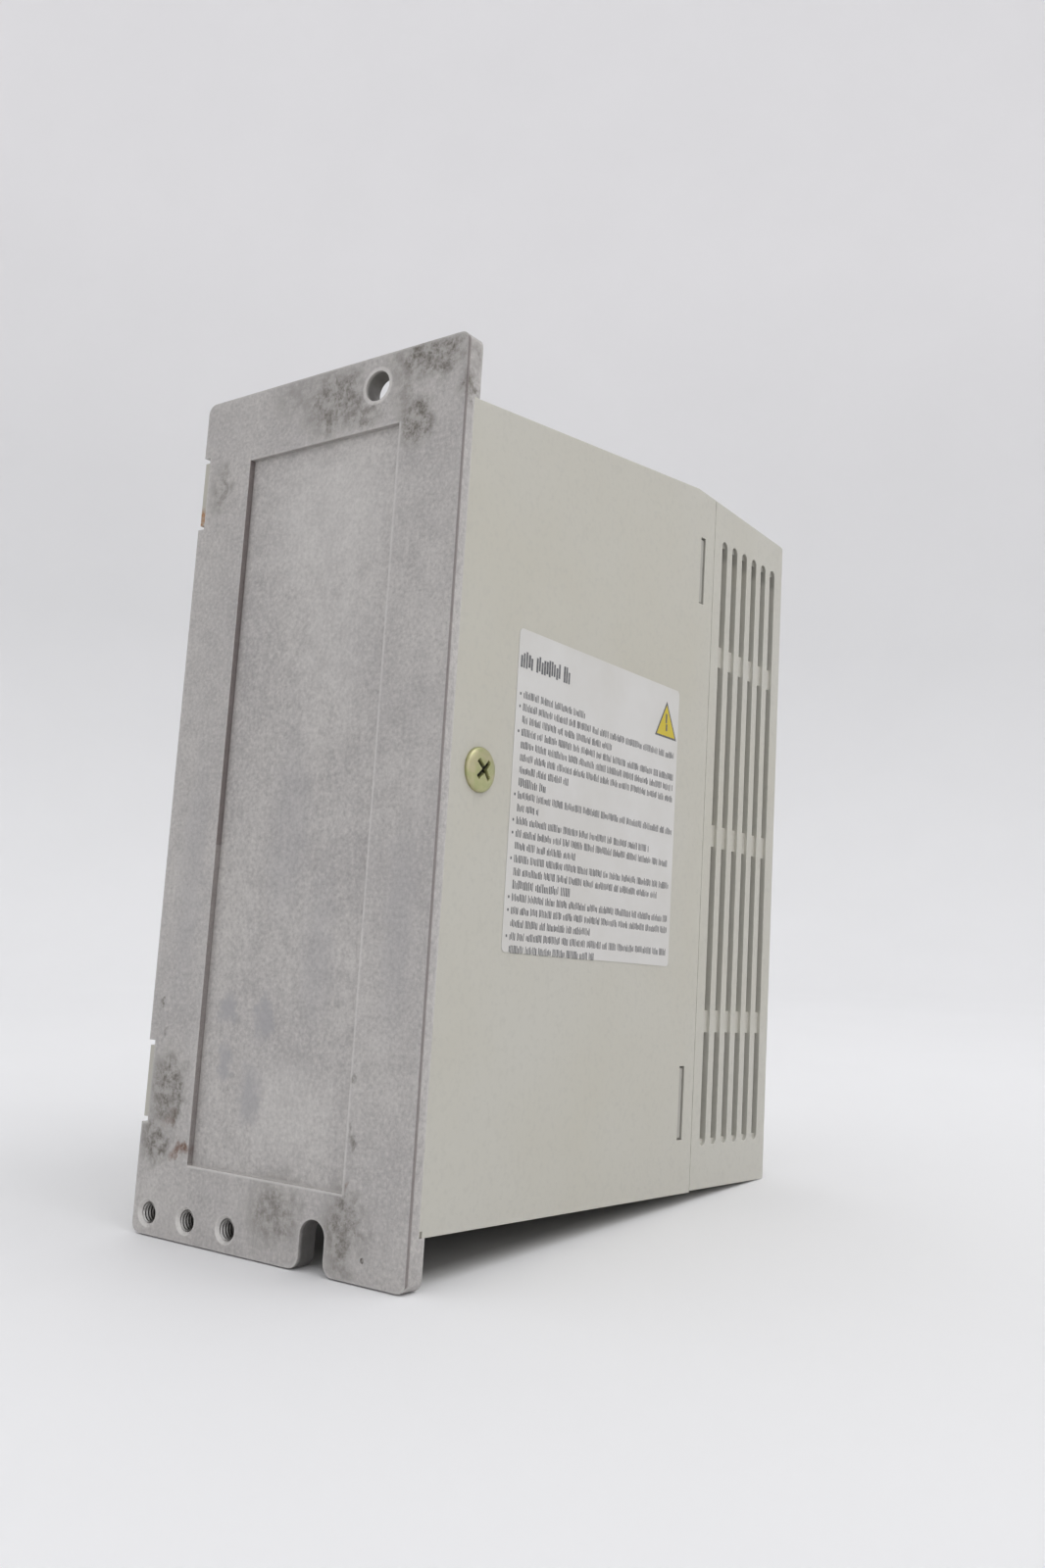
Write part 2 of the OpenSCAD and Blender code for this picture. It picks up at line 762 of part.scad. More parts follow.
// Tinned bars from the power board to the back of each terminal
module bus_bars() {
    color([0.80, 0.79, 0.76])
        for (x = column_x, z = row_z)
            block([x - 3, x + 3], [power_front, control_d], [z - 0.5, z + 0.5]);
}

// Insulating sheet on the fins' tips, under the power board's soldered side
module insulation_sheet() {
    color([0.90, 0.88, 0.80])
        block([-23.6, 23.6], [fin_depth, fin_depth + 0.4], [22, 62]);
}

// Ribbon cable between the boards, bowed sideways, and the header at each end
ribbon_d = [power_front + 8, control_d - 8];
ribbon_x = 26;
ribbon_t = 0.8;
ribbon_bow = 3;
ribbon_steps = 16;
function ribbon_side(off) = [
    for (i = [0:ribbon_steps])
        let (s = i / ribbon_steps)
            [ribbon_x + off - ribbon_bow * sin(180 * s), ribbon_d[0] + s * (ribbon_d[1] - ribbon_d[0])]
];
module ribbon_cable() {
    edge = ribbon_side(ribbon_t / 2);
    color([0.62, 0.62, 0.64])
        plan_prism([47, 63], concat(ribbon_side(-ribbon_t / 2), [for (i = [ribbon_steps:-1:0]) edge[i]]));
}
module ribbon_headers() {
    color([0.16, 0.16, 0.17])
        for (d = [[power_front, ribbon_d[0]], [ribbon_d[1], control_d]])
            block([ribbon_x - 3, ribbon_x + 3], d, [45, 65]);
}

heatsink();
rear_case();
front_cover();
case_screw();
side_label();
rating_label();
display_door();
terminal_cover();
display_lens();
display_module();
mode_button();
up_button();
down_button();
set_button();
tact_switches();
charge_lamp();
io_connector_a();
io_connector_b();
encoder_connector();
serial_connector();
main_terminal_block();
terminal_screws();
terminal_clamps();
control_supply_header();
battery_connector();
control_board();
processor_chips();
power_board();
power_module();
bridge_rectifier();
thermal_pads();
module_screws();
smoothing_capacitors();
inrush_relay();
switching_transformer();
line_choke();
current_sensors();
brake_resistor();
line_fuse();
board_spacers();
board_pillars();
board_screws();
bus_bars();
insulation_sheet();
ribbon_cable();
ribbon_headers();
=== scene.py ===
import math

import bmesh
import bpy
import numpy as np
from mathutils import Matrix, Vector


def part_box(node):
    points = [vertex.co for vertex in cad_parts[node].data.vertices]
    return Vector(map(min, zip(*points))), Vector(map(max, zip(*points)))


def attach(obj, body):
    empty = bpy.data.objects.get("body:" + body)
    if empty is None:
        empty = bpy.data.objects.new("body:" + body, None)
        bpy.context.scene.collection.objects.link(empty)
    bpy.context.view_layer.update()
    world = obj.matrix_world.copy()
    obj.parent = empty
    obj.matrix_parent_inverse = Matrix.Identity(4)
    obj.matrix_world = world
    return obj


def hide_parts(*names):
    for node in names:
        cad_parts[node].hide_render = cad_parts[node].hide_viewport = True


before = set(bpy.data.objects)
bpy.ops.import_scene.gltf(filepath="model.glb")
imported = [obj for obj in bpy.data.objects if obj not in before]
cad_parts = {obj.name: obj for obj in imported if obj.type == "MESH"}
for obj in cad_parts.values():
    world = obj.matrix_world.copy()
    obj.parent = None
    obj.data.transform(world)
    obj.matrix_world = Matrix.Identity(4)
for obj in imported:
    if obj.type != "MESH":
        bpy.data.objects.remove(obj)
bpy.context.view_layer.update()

MM = 0.001

# Camera
# The drive stands on a white table and is seen from behind its mounting plate, from a little
# above the plate's foot, so the sloping top of the case stays hidden behind its side.
CAMERA_PLACE = Vector((-186.64, 180.04, 51.53)) * MM
CAMERA_RIGHT = Vector((-0.80599, -0.58906, 0.05824))
CAMERA_AHEAD = Vector((0.59069, -0.79405, 0.14343))
CAMERA_LENS = 31.65

camera = bpy.data.objects.new("camera", bpy.data.cameras.new("camera"))
bpy.context.scene.collection.objects.link(camera)
bpy.context.scene.camera = camera
right = (CAMERA_RIGHT - CAMERA_AHEAD * CAMERA_RIGHT.dot(CAMERA_AHEAD)).normalized()
up = right.cross(CAMERA_AHEAD).normalized()
turn = Matrix((right, up, -CAMERA_AHEAD.normalized())).transposed().to_4x4()
camera.matrix_world = Matrix.Translation(CAMERA_PLACE) @ turn
camera.data.lens = CAMERA_LENS
camera.data.sensor_width = 36.0
camera.data.clip_start = 0.01
camera.data.clip_end = 20.0
bpy.context.scene.view_settings.view_transform = "Standard"


# Table and backdrop
# White seamless paper. The drive rests on its plate's lower edge and on the cover's lower front
# edge, so in the drive's own frame the table slopes up towards the front.
REST_BACK = Vector((0.0, -4.0, 0.0)) * MM
REST_FRONT = Vector((0.0, -128.2, 9.1)) * MM
TABLE_RADIUS = 0.75
BEND_RADIUS = 0.55
WALL_HEIGHT = 1.6


def new_piece(name, points, faces, smooth=True):
    """One mesh object from an array of points in metres and a list of faces."""
    mesh = bpy.data.meshes.new(name)
    mesh.from_pydata([tuple(p) for p in np.asarray(points, float)], [], faces)
    mesh.polygons.foreach_set("use_smooth", [smooth] * len(mesh.polygons))
    mesh.update()
    piece = bpy.data.objects.new(name, mesh)
    bpy.context.scene.collection.objects.link(piece)
    return piece


def grid_faces(rows, columns, closed=False):
    """Quads of a rows x columns grid of points; closed joins the last column to the first."""
    last = columns if closed else columns - 1
    i, j = np.meshgrid(np.arange(rows - 1), np.arange(last), indexing="ij")
    i, j = i.ravel(), j.ravel()
    k = (j + 1) % columns
    row, next_row = i * columns, (i + 1) * columns
    return np.stack([row + j, row + k, next_row + k, next_row + j], 1).tolist()


def add_node(tree, kind, inputs=None, **settings):
    """Adds one shader node. A socket in inputs is linked, and anything else is set as the value."""
    made = tree.nodes.new(kind)
    for key, value in settings.items():
        setattr(made, key, value)
    for key, value in (inputs or {}).items():
        if isinstance(value, bpy.types.NodeSocket):
            tree.links.new(value, made.inputs[key])
        else:
            made.inputs[key].default_value = value
    return made


def object_space(tree):
    """The node output that gives each surface point's own coordinates, in metres."""
    return add_node(tree, "ShaderNodeTexCoord").outputs["Object"]


def new_material(name, **values):
    """A material, its Principled shader with plain values set, and its object coordinates."""
    material = bpy.data.materials.new(name)
    material.use_nodes = True
    tree = material.node_tree
    shader = tree.nodes["Principled BSDF"]
    for key, value in values.items():
        shader.inputs[key.replace("_", " ")].default_value = value
    return material, shader, object_space(tree)


def ramp(value, stops):
    """A colour ramp over a value; each stop is a place from 0 to 1 and a grey or an RGB colour."""
    made = add_node(value.id_data, "ShaderNodeValToRGB", {0: value})
    line = made.color_ramp
    while len(line.elements) < len(stops):
        line.elements.new(0.5)
    for element, (place, colour) in zip(line.elements, stops):
        element.position = place
        element.color = (*colour, 1.0) if isinstance(colour, tuple) else (colour, colour, colour, 1.0)
    return made.outputs["Color"]


def noise(where, scale, detail=2.0, roughness=0.5, distortion=0.0):
    """A noise texture's value from 0 to 1."""
    values = {"Scale": scale, "Detail": detail, "Roughness": roughness, "Distortion": distortion}
    return add_node(where.id_data, "ShaderNodeTexNoise", {"Vector": where, **values}).outputs["Fac"]


def remap(value, given=(0.0, 1.0), wanted=(0.0, 1.0)):
    """A value taken from the given range to the wanted one, and held inside it."""
    ends = {"From Min": given[0], "From Max": given[1], "To Min": wanted[0], "To Max": wanted[1]}
    return add_node(value.id_data, "ShaderNodeMapRange", {"Value": value, **ends}).outputs[0]


def calc(operation, *terms):
    """Arithmetic on one value, or on a value and another value or number."""
    made = add_node(terms[0].id_data, "ShaderNodeMath", dict(enumerate(terms)), operation=operation)
    return made.outputs[0]


def vector_calc(operation, *terms):
    """Arithmetic on vectors. A length and a dot product come out as plain values."""
    made = add_node(terms[0].id_data, "ShaderNodeVectorMath", dict(enumerate(terms)), operation=operation)
    return made.outputs["Value" if operation in ("LENGTH", "DOT_PRODUCT") else "Vector"]


def split(vector):
    """A vector's three parts, by the names X, Y and Z."""
    return add_node(vector.id_data, "ShaderNodeSeparateXYZ", {0: vector}).outputs


def stretched(where, scale):
    """Coordinates multiplied along each axis."""
    return add_node(where.id_data, "ShaderNodeMapping", {"Vector": where, "Scale": scale}).outputs[0]


def feed(shader, name, value):
    """Links a value to an input of a shader."""
    shader.id_data.links.new(value, shader.inputs[name])


slope = math.atan2(REST_FRONT.z - REST_BACK.z, REST_BACK.y - REST_FRONT.y)
middle = Vector((0.0, -0.065, 0.0))
middle.z = REST_BACK.z + (REST_BACK.y - middle.y) * math.tan(slope)
level = Matrix.Translation(middle) @ Matrix.Rotation(-slope, 4, "X")


def turned_profile(profile, segments):
    """Points (r cos a, r sin a, h) of a profile of pairs r and h, for evenly spaced angles a."""
    profile = np.asarray(profile, float)
    angle = np.linspace(0, 2 * math.pi, segments, endpoint=False)
    return np.stack([
        profile[:, :1] * np.cos(angle),
        profile[:, :1] * np.sin(angle),
        np.repeat(profile[:, 1:], segments, 1),
    ], 2).reshape(-1, 3)


bend = np.linspace(0, math.pi / 2, 20)
floor_profile = [[0.02, 0.0], [0.3, 0.0], [TABLE_RADIUS, 0.0]]
wall_profile = np.concatenate([
    np.stack([TABLE_RADIUS + BEND_RADIUS * np.sin(bend), BEND_RADIUS - BEND_RADIUS * np.cos(bend)], 1),
    [[TABLE_RADIUS + BEND_RADIUS, WALL_HEIGHT]],
])
table_faces = grid_faces(len(floor_profile), 96, closed=True) + [list(range(96))[::-1]]
table = new_piece("table", turned_profile(floor_profile, 96), table_faces)
wall_faces = grid_faces(len(wall_profile), 96, closed=True)
backdrop = new_piece("backdrop", turned_profile(wall_profile, 96), wall_faces)
backdrop.visible_shadow = False

# A painted shadow darkens the paper under the drive over a patch: the place of its middle in depth, its full
# tone's half sizes, the half sizes at which it has faded out, all in millimetres, and its tone.
SHADOW_MIDDLE = -66
SHADOW_HALF = (26, 52)
SHADOW_EDGE = (34, 63)
SHADOW_TONE = (0.34, 0.335, 0.33)
SHADOW_STRENGTH = 0.8

paper, shader, where = new_material("white_paper", Roughness=0.75)
mottle = noise(where, 9.0, 3.0)
axes = split(where)
# Painted shading: the paper is lightest on the floor, darkest part way up the wall and lighter again above,
# standing in for how the light falls on the sweep.
rise = remap(axes["Z"], (0.05, 0.9))
painted_height_shading = ramp(rise, [(0.0, (0.85, 0.85, 0.855)), (0.45, (0.74, 0.738, 0.742)), (1.0, (0.80, 0.79, 0.797))])
paper_tone = ramp(mottle, [(0.3, 0.985), (0.7, 1.0)])
mixed = {"Factor": 1.0, 6: painted_height_shading, 7: paper_tone}
tint = add_node(paper.node_tree, "ShaderNodeMix", mixed, data_type="RGBA", blend_type="MULTIPLY")
# Painted shadow: a soft grey patch on the paper under the drive, where its shade falls.
across = remap(calc("ABSOLUTE", axes["X"]), (SHADOW_EDGE[0] * MM, SHADOW_HALF[0] * MM), (0.0, SHADOW_STRENGTH))
from_middle = calc("ABSOLUTE", calc("ADD", axes["Y"], -SHADOW_MIDDLE * MM))
along = remap(from_middle, (SHADOW_EDGE[1] * MM, SHADOW_HALF[1] * MM))
painted_shadow = calc("MULTIPLY", across, along)
worn = {"Factor": painted_shadow, 6: tint.outputs[2], 7: (*SHADOW_TONE, 1.0)}
feed(shader, "Base Color", add_node(paper.node_tree, "ShaderNodeMix", worn, data_type="RGBA").outputs[2])
for part in (table, backdrop):
    part.data.transform(level)
    part.data.flip_normals()
    part.data.materials.append(paper)


# Light
# Soft light from a white tent: an even sky, a broad panel high over the labelled side, another
# farther off behind it, and a third on the far side that lifts the table's shadow.
def add_panel(name, place, aim, size, power):
    """A square area light in metres and watts, turned to face a point."""
    light = bpy.data.lights.new(name, "AREA")
    light.shape = "SQUARE"
    light.size = size
    light.energy = power
    panel = bpy.data.objects.new(name, light)
    bpy.context.scene.collection.objects.link(panel)
    turned = (Vector(aim) - Vector(place)).to_track_quat("-Z", "Y").to_matrix().to_4x4()
    panel.matrix_world = Matrix.Translation(place) @ turned
    return panel


world = bpy.data.worlds.new("tent")
bpy.context.scene.world = world
world.use_nodes = True
sky = world.node_tree.nodes["Background"].inputs
sky["Color"].default_value = (0.97, 0.98, 1.0, 1.0)
sky["Strength"].default_value = 0.98
add_panel("key_panel", (-0.75, -0.1, 1.15), (0.0, -0.06, 0.08), 0.9, 4.2)
add_panel("far_panel", (1.5, -0.9, 1.2), (0.2, -0.1, 0.0), 1.0, 2.0)
add_panel("side_panel", (-1.5, 1.21, 0.78), (0.0, -0.06, 0.08), 1.15, 4.6)


# Shared wear effects
# The castings and mouldings all have rubbed edges, and the plastic has the fine grain of its
# mould. Each is a node group that puts out a mask or a height.
def new_group(name, inputs, output):
    """An empty shader node group with float or vector inputs and one float output."""
    group = bpy.data.node_groups.new(name, "ShaderNodeTree")
    for title, value in inputs.items():
        kind = "NodeSocketVector" if value is None else "NodeSocketFloat"
        made = group.interface.new_socket(name=title, in_out="INPUT", socket_type=kind)
        if value is not None:
            made.default_value = value
    group.interface.new_socket(name=output, in_out="OUTPUT", socket_type="NodeSocketFloat")
    return group, add_node(group, "NodeGroupInput").outputs, add_node(group, "NodeGroupOutput").inputs


edge_group, given, result = new_group(
    "rubbed_edges", {"Vector": None, "Radius": 0.0006, "Breakup": 900.0}, "Mask"
)
rounded = add_node(edge_group, "ShaderNodeBevel", {"Radius": given["Radius"]}, samples=4).outputs[0]
straight = add_node(edge_group, "ShaderNodeNewGeometry").outputs["Normal"]
edge = remap(vector_calc("DOT_PRODUCT", rounded, straight), (0.995, 0.90))
broken = remap(noise(given["Vector"], given["Breakup"], 2.0), (0.35, 0.62))
edge_group.links.new(calc("MULTIPLY", edge, broken), result["Mask"])

grain_group, given, result = new_group(
    "mould_grain", {"Vector": None, "Scale": 1500.0, "Waviness": 0.25}, "Height"
)
pits = add_node(grain_group, "ShaderNodeTexVoronoi", {"Vector": given["Vector"], "Scale": given["Scale"]})
swell = calc("MULTIPLY", noise(given["Vector"], 60.0, 2.0), given["Waviness"])
grain_group.links.new(calc("ADD", pits.outputs["Distance"], swell), result["Height"])


def use_group(group, where, **values):
    """Places a node group in a material and sets its inputs."""
    return add_node(
        where.id_data, "ShaderNodeGroup", {"Vector": where, **values}, node_tree=group
    ).outputs[0]


def blend_colours(mask, under, over):
    """The colour under, covered by the colour over where the mask is 1."""
    colours = [(*colour, 1.0) if isinstance(colour, tuple) else colour for colour in (under, over)]
    inputs = {"Factor": mask, 6: colours[0], 7: colours[1]}
    return add_node(mask.id_data, "ShaderNodeMix", inputs, data_type="RGBA").outputs[2]


def bumped(shader, height, distance, strength=1.0):
    """Feeds a height through a Bump node into the shader's normal; the distance is in millimetres."""
    inputs = {"Height": height, "Distance": distance * MM, "Strength": strength}
    feed(shader, "Normal", add_node(height.id_data, "ShaderNodeBump", inputs).outputs["Normal"])


# Mounting plate and heatsink
# One aluminium pressure die casting, left as cast: grey and mottled, with dark release-agent
# stains round the fixing holes, a little rust off old screws, and edges softened by tumbling.
SHARP_EDGE = math.radians(38)
EARTH_X = (31.0, 20.0, 9.0)
EARTH_Z = 4.0


def softened(node, radius):
    """A copy of a CAD node's mesh, welded, its flat facets joined and its sharp edges rounded."""
    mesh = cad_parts[node].data.copy()
    mesh.name = node + "_finished"
    mesh.materials.clear()
    work = bmesh.new()
    work.from_mesh(mesh)
    bmesh.ops.remove_doubles(work, verts=work.verts, dist=2e-6)
    bmesh.ops.dissolve_limit(work, angle_limit=math.radians(0.2), verts=work.verts, edges=work.edges)
    work.to_mesh(mesh)
    work.free()
    if mesh.attributes.get("custom_normal"):
        mesh.attributes.remove(mesh.attributes["custom_normal"])
    mesh.polygons.foreach_set("use_smooth", [True] * len(mesh.polygons))
    mesh.set_sharp_from_angle(angle=SHARP_EDGE)
    piece = bpy.data.objects.new(node + "_finished", mesh)
    bpy.context.scene.collection.objects.link(piece)
    bevel = piece.modifiers.new("rounded_edges", "BEVEL")
    bevel.width = radius * MM
    bevel.segments = 3
    bevel.limit_method = "ANGLE"
    bevel.angle_limit = SHARP_EDGE
    bevel.harden_normals = True
    return piece


def settled(piece, material, body="housing", node=None):
    """Gives a piece its material and its body, and hides the CAD node that it stands for."""
    piece.data.materials.append(material)
    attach(piece, body)
    if node:
        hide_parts(node)
    return piece


def reshaped(node, radius, material, body="housing"):
    """A CAD node's softened copy, standing for the node."""
    return settled(softened(node, radius), material, body, node)


# Each stain: its place across and up the plate, its half sizes, and how dark it is. Noise bends
# the outlines of all of them by this much, in metres.
STAIN_WANDER = 0.009
STAINS = (
    ((-25.8, 165.0), (11.5, 5.0), 0.92),
    ((-1.8, 161.0), (9.5, 7.8), 0.80),
    ((8.0, 164.0), (9.0, 5.0), 0.38),
    ((-8.5, 156.6), (7.0, 2.6), 0.72),
    ((-23.5, 153.4), (5.0, 5.6), 0.95),
    ((-20.0, 159.5), (4.0, 5.5), 0.50),
    ((-34.2, 157.3), (1.5, 3.6), 0.85),
    ((29.4, 148.7), (3.6, 6.0), 0.55),
    ((28.6, 27.4), (6.0, 8.6), 0.85),
    ((26.2, 26.0), (2.2, 7.0), 0.95),
    ((31.3, 17.0), (4.4, 4.8), 0.92),
    ((31.8, 43.7), (1.0, 0.9), 0.85),
    ((30.7, 38.1), (0.9, 0.9), 0.75),
    ((-2.7, 8.9), (7.6, 7.0), 0.66),
    ((-19.5, 8.5), (5.2, 8.8), 0.78),
    ((-19.6, 32.9), (1.0, 1.1), 0.80),
    ((-20.2, 24.1), (0.8, 2.4), 0.80),
)
WIPED = (
    ((-2.0, 138.0), (19.0, 17.0), 0.30),
    ((-6.0, 116.0), (12.0, 22.0), 0.18),
    ((-4.0, 26.0), (14.0, 10.0), 0.22),
)
RUST = (
    ((23.6, 16.5), (3.0, 1.7), 0.85), ((-20.8, 15.5), (0.9, 1.5), 0.45), ((27.0, 21.5), (1.6, 2.0), 0.35)
)
SMEARS = (
    ((14.7, 43.1), (2.4, 3.0), 0.8),
    ((4.5, 42.5), (2.0, 4.2), 0.75),
    ((14.4, 33.6), (1.9, 3.6), 0.75),
    ((6.8, 28.6), (3.4, 6.2), 0.65),
    ((-28.0, 60.0), (4.0, 18.0), 0.3),
    ((27.0, 70.0), (4.0, 26.0), 0.3),
    ((2.0, 78.0), (6.0, 20.0), 0.3),
    ((-8.0, 56.0), (4.5, 16.0), 0.3),
)

# The sunk panel's four steps and the plate's near corner, as lines: the axis that each crosses,
# its place on that axis, its half width, and how strongly the painted shade or the painted highlight shows.
# Painted shade along the sunk panel's left and top steps and along the plate's near corner.
SHADE_LINES = (
    ("X", 20.62, 0.30, 0.75, "Z", (75.0, 153.4)),
    ("X", 20.62, 0.28, 0.50, "Z", (14.1, 75.0)),
    ("X", -35.0, 0.35, 0.70, "Y", (-0.3, 0.3)),
    ("Z", 153.4, 0.18, 0.20, "X", (-19.3, 20.7)),
)
# Painted highlight along the sunk panel's right and bottom steps.
HIGHLIGHT_LINES = (("X", -19.5, 0.4, 0.35, "Z", (14.1, 153.4)), ("Z", 14.0, 0.4, 0.5, "X", (-19.3, 20.7)))
# Each hole's painted highlight round its rim: its place, radius, half width and strength. Then the painted
# shade inside the fixing hole and the fixing slot, as ellipses.
HOLE_RIM_HIGHLIGHTS = (((-13.0, 162.0), 3.35, 0.45, 0.4), *(((x, EARTH_Z), 2.35, 0.36, 0.4) for x in EARTH_X))
HOLE_SHADES = (((-13.0, 162.0), (6.0, 6.0), 0.85), ((-13.0, 3.0), (9.0, 9.0), 0.85))


def highest_of(masks):
    """The highest of several masks."""
    total = masks[0]
    for mask in masks[1:]:
        total = calc("MAXIMUM", total, mask)
    return total


def spots(flat, places):
    """The highest of several soft ellipses: 1 at the middle of each, falling to 0 at its edge."""
    masks = []
    for (x, z), (wide, high), depth in places:
        moved = vector_calc("SUBTRACT", flat, (x * MM, 0, z * MM))
        scaled = vector_calc("MULTIPLY", moved, (1 / (wide * MM), 0, 1 / (high * MM)))
        masks.append(remap(vector_calc("LENGTH", scaled), (1.15, 0.45), (0.0, depth)))
    return highest_of(masks)


def near_to(value, place, half, fall, depth=1.0):
    """The depth where a length is within half of a place, falling to 0 over fall, in millimetres."""
    away = calc("ABSOLUTE", calc("SUBTRACT", value, place * MM))
    return remap(away, ((half + fall) * MM, half * MM), (0.0, depth))


def times(*masks):
    """The product of several masks."""
    total = masks[0]
    for mask in masks[1:]:
        total = calc("MULTIPLY", total, mask)
    return total


def straight_lines(axes, places):
    """Straight lines, each across one axis and as long as its range on another."""
    masks = []
    for across, place, half, depth, along, (low, high) in places:
        on_line = near_to(axes[across], place, half * 0.4, half * 0.6, depth)
        masks.append(times(on_line, near_to(axes[along], (low + high) / 2, (high - low) / 2, 0.3)))
    return highest_of(masks)


def round_rims(flat, places):
    """Rings round several places on the plate."""
    masks = []
    for (x, z), radius, half, depth in places:
        moved = vector_calc("SUBTRACT", flat, (x * MM, 0, z * MM))
        away = vector_calc("LENGTH", vector_calc("MULTIPLY", moved, (1, 0, 1)))
        masks.append(near_to(away, radius, half * 0.6, half * 0.5, depth))
    return highest_of(masks)


cast, shader, where = new_material("cast_aluminium", Metallic=0.55, Specular_IOR_Level=0.5)
broad = noise(where, 38.0, 6.0, 0.62)
cloud = noise(where, 210.0, 5.0, 0.65)
speck = noise(where, 1300.0, 3.0, 0.7)
streak = noise(stretched(where, (9.0, 1.0, 1.0)), 45.0, 4.0, 0.6)
tones = [(0.35, (0.445, 0.427, 0.417)), (0.50, (0.49, 0.471, 0.455)), (0.66, (0.54, 0.519, 0.497))]
bare = ramp(broad, tones)
clouded = blend_colours(ramp(cloud, [(0.44, 0.0), (0.70, 0.5)]), bare, (0.38, 0.362, 0.355))
lighter = blend_colours(ramp(speck, [(0.50, 0.0), (0.68, 0.4)]), clouded, (0.70, 0.675, 0.64))
grained = blend_colours(ramp(speck, [(0.32, 0.5), (0.48, 0.0)]), lighter, (0.32, 0.302, 0.295))
blotch = noise(where, 420.0, 6.0, 0.75)
streaked = blend_colours(ramp(streak, [(0.45, 0.0), (0.75, 0.12)]), grained, (0.68, 0.66, 0.632))
warped = vector_calc("MULTIPLY", cloud.node.outputs["Color"], (STAIN_WANDER, 0.0, STAIN_WANDER))
centred = vector_calc("SUBTRACT", warped, (STAIN_WANDER / 2, 0.0, STAIN_WANDER / 2))
flat = vector_calc("ADD", where, centred)
wiped = blend_colours(spots(flat, WIPED), streaked, (0.74, 0.72, 0.69))
smeared = blend_colours(spots(flat, SMEARS), wiped, (0.39, 0.38, 0.39))
blotched = times(spots(flat, STAINS), ramp(blotch, [(0.42, 0.30), (0.56, 1.0)]))
freckled = times(blotched, ramp(speck, [(0.38, 0.45), (0.58, 1.0)]))
stained = blend_colours(freckled, smeared, (0.165, 0.152, 0.128))
rust = times(spots(flat, RUST), ramp(blotch, [(0.38, 0.30), (0.54, 1.0)]))
rusted = blend_colours(rust, stained, (0.17, 0.085, 0.05))
rubbed = use_group(edge_group, where, Radius=0.9 * MM, Breakup=420.0)
edged = blend_colours(rubbed, rusted, (0.60, 0.585, 0.565))
axes = split(where)
# Painted shade along those steps and the near corner, in a dark purplish brown.
step_shaded = blend_colours(straight_lines(axes, SHADE_LINES), edged, (0.16, 0.13, 0.125))
# Painted highlight along the steps that face the light.
step_highlit = blend_colours(straight_lines(axes, HIGHLIGHT_LINES), step_shaded, (0.68, 0.66, 0.64))
# Painted highlight round the rims of the fixing hole and the earth holes.
rim_highlit = blend_colours(round_rims(where, HOLE_RIM_HIGHLIGHTS), step_highlit, (0.78, 0.76, 0.73))
# Painted shade inside the fixing hole and the fixing slot, below the plate's face.
inside = remap(axes["Y"], (-0.3 * MM, -0.9 * MM))
hole_shaded = blend_colours(times(inside, spots(where, HOLE_SHADES)), rim_highlit, (0.13, 0.125, 0.12))
feed(shader, "Base Color", hole_shaded)
clean_roughness = remap(cloud, (0.3, 0.7), (0.46, 0.60))
feed(shader, "Roughness", calc("ADD", clean_roughness, calc("MULTIPLY", freckled, 0.25)))
bumped(shader, calc("ADD", speck, cloud), 0.05, 0.55)
reshaped("heatsink", 0.32, cast)


# Earth threads
# The plate's three earth holes are tapped for M4 screws, and the cut thread is bright where the
# rest of the casting is dull, with painted shade darkening it deeper in each hole.
THREAD_PITCH = 0.7
THREAD_DEPTHS = (0.62, 6.9)
THREAD_RADII = (1.66, 1.98)


def joined(parts):
    """Several (points, faces) pairs as one pair."""
    points, faces, count = [], [], 0
    for some_points, some_faces in parts:
        points.append(np.asarray(some_points, float))
        faces.extend([[index + count for index in face] for face in some_faces])
        count += len(some_points)
    return np.concatenate(points), faces


def cut_thread(x, z, segments=40, steps=8):
    """A thread: radius high - (high - low) * tri(d / pitch - a / 2 pi) at angle a and depth d."""
    low, high = THREAD_RADII
    depth = np.arange(THREAD_DEPTHS[0], THREAD_DEPTHS[1], THREAD_PITCH / steps)[:, None]
    angle = np.linspace(0, 2 * math.pi, segments, endpoint=False)[None, :]
    turn = (depth / THREAD_PITCH - angle / (2 * math.pi)) % 1.0
    radius = high - (high - low) * (1 - np.abs(2 * turn - 1))
    points = np.stack([x + radius * np.cos(angle), -depth + 0 * angle, z + radius * np.sin(angle)], 2)
    return points.reshape(-1, 3) * MM, grid_faces(len(depth), segments, closed=True)


def bare_metal(name, colour, dark, roughness=(0.28, 0.42), scale=400.0, stretch=(1.0, 1.0, 1.0)):
    """A metal whose colour and gloss vary with fine scratches, which can be drawn out along an axis."""
    material, shader, where = new_material(name, Metallic=1.0)
    scratches = noise(stretched(where, stretch), scale, 5.0, 0.65)
    haze = noise(where, 120.0, 3.0)
    feed(shader, "Base Color", blend_colours(ramp(scratches, [(0.40, 0.0), (0.70, 1.0)]), colour, dark))
    feed(shader, "Roughness", remap(haze, (0.3, 0.7), roughness))
    bumped(shader, scratches, 0.01, 0.4)
    return material


def overlaid(material, colour, mask):
    """Covers a material's colour with another one where the mask is 1."""
    shader = material.node_tree.nodes["Principled BSDF"]
    under = shader.inputs["Base Color"].links[0].from_socket
    feed(shader, "Base Color", blend_colours(mask, under, colour))


threads = new_piece("earth_threads", *joined([cut_thread(x, EARTH_Z) for x in EARTH_X]))
cut_aluminium = bare_metal("cut_aluminium", (0.72, 0.71, 0.69), (0.42, 0.41, 0.39))
depth = split(object_space(cut_aluminium.node_tree))["Y"]
# Painted shade: the thread darkens with depth into the hole.
overlaid(cut_aluminium, (0.06, 0.055, 0.05), remap(depth, (-0.7 * MM, -3.0 * MM), (0.25, 0.88)))
settled(threads, cut_aluminium)


# Rear case
# A moulded sleeve of warm grey plastic with a fine spark-eroded texture. It laps the plate's rim,
# two hooks hold the plate's far edge, and years in a cabinet have yellowed it slightly.
CASE_COLOUR = (0.50, 0.487, 0.437)
CASE_AGED = (0.485, 0.466, 0.40)


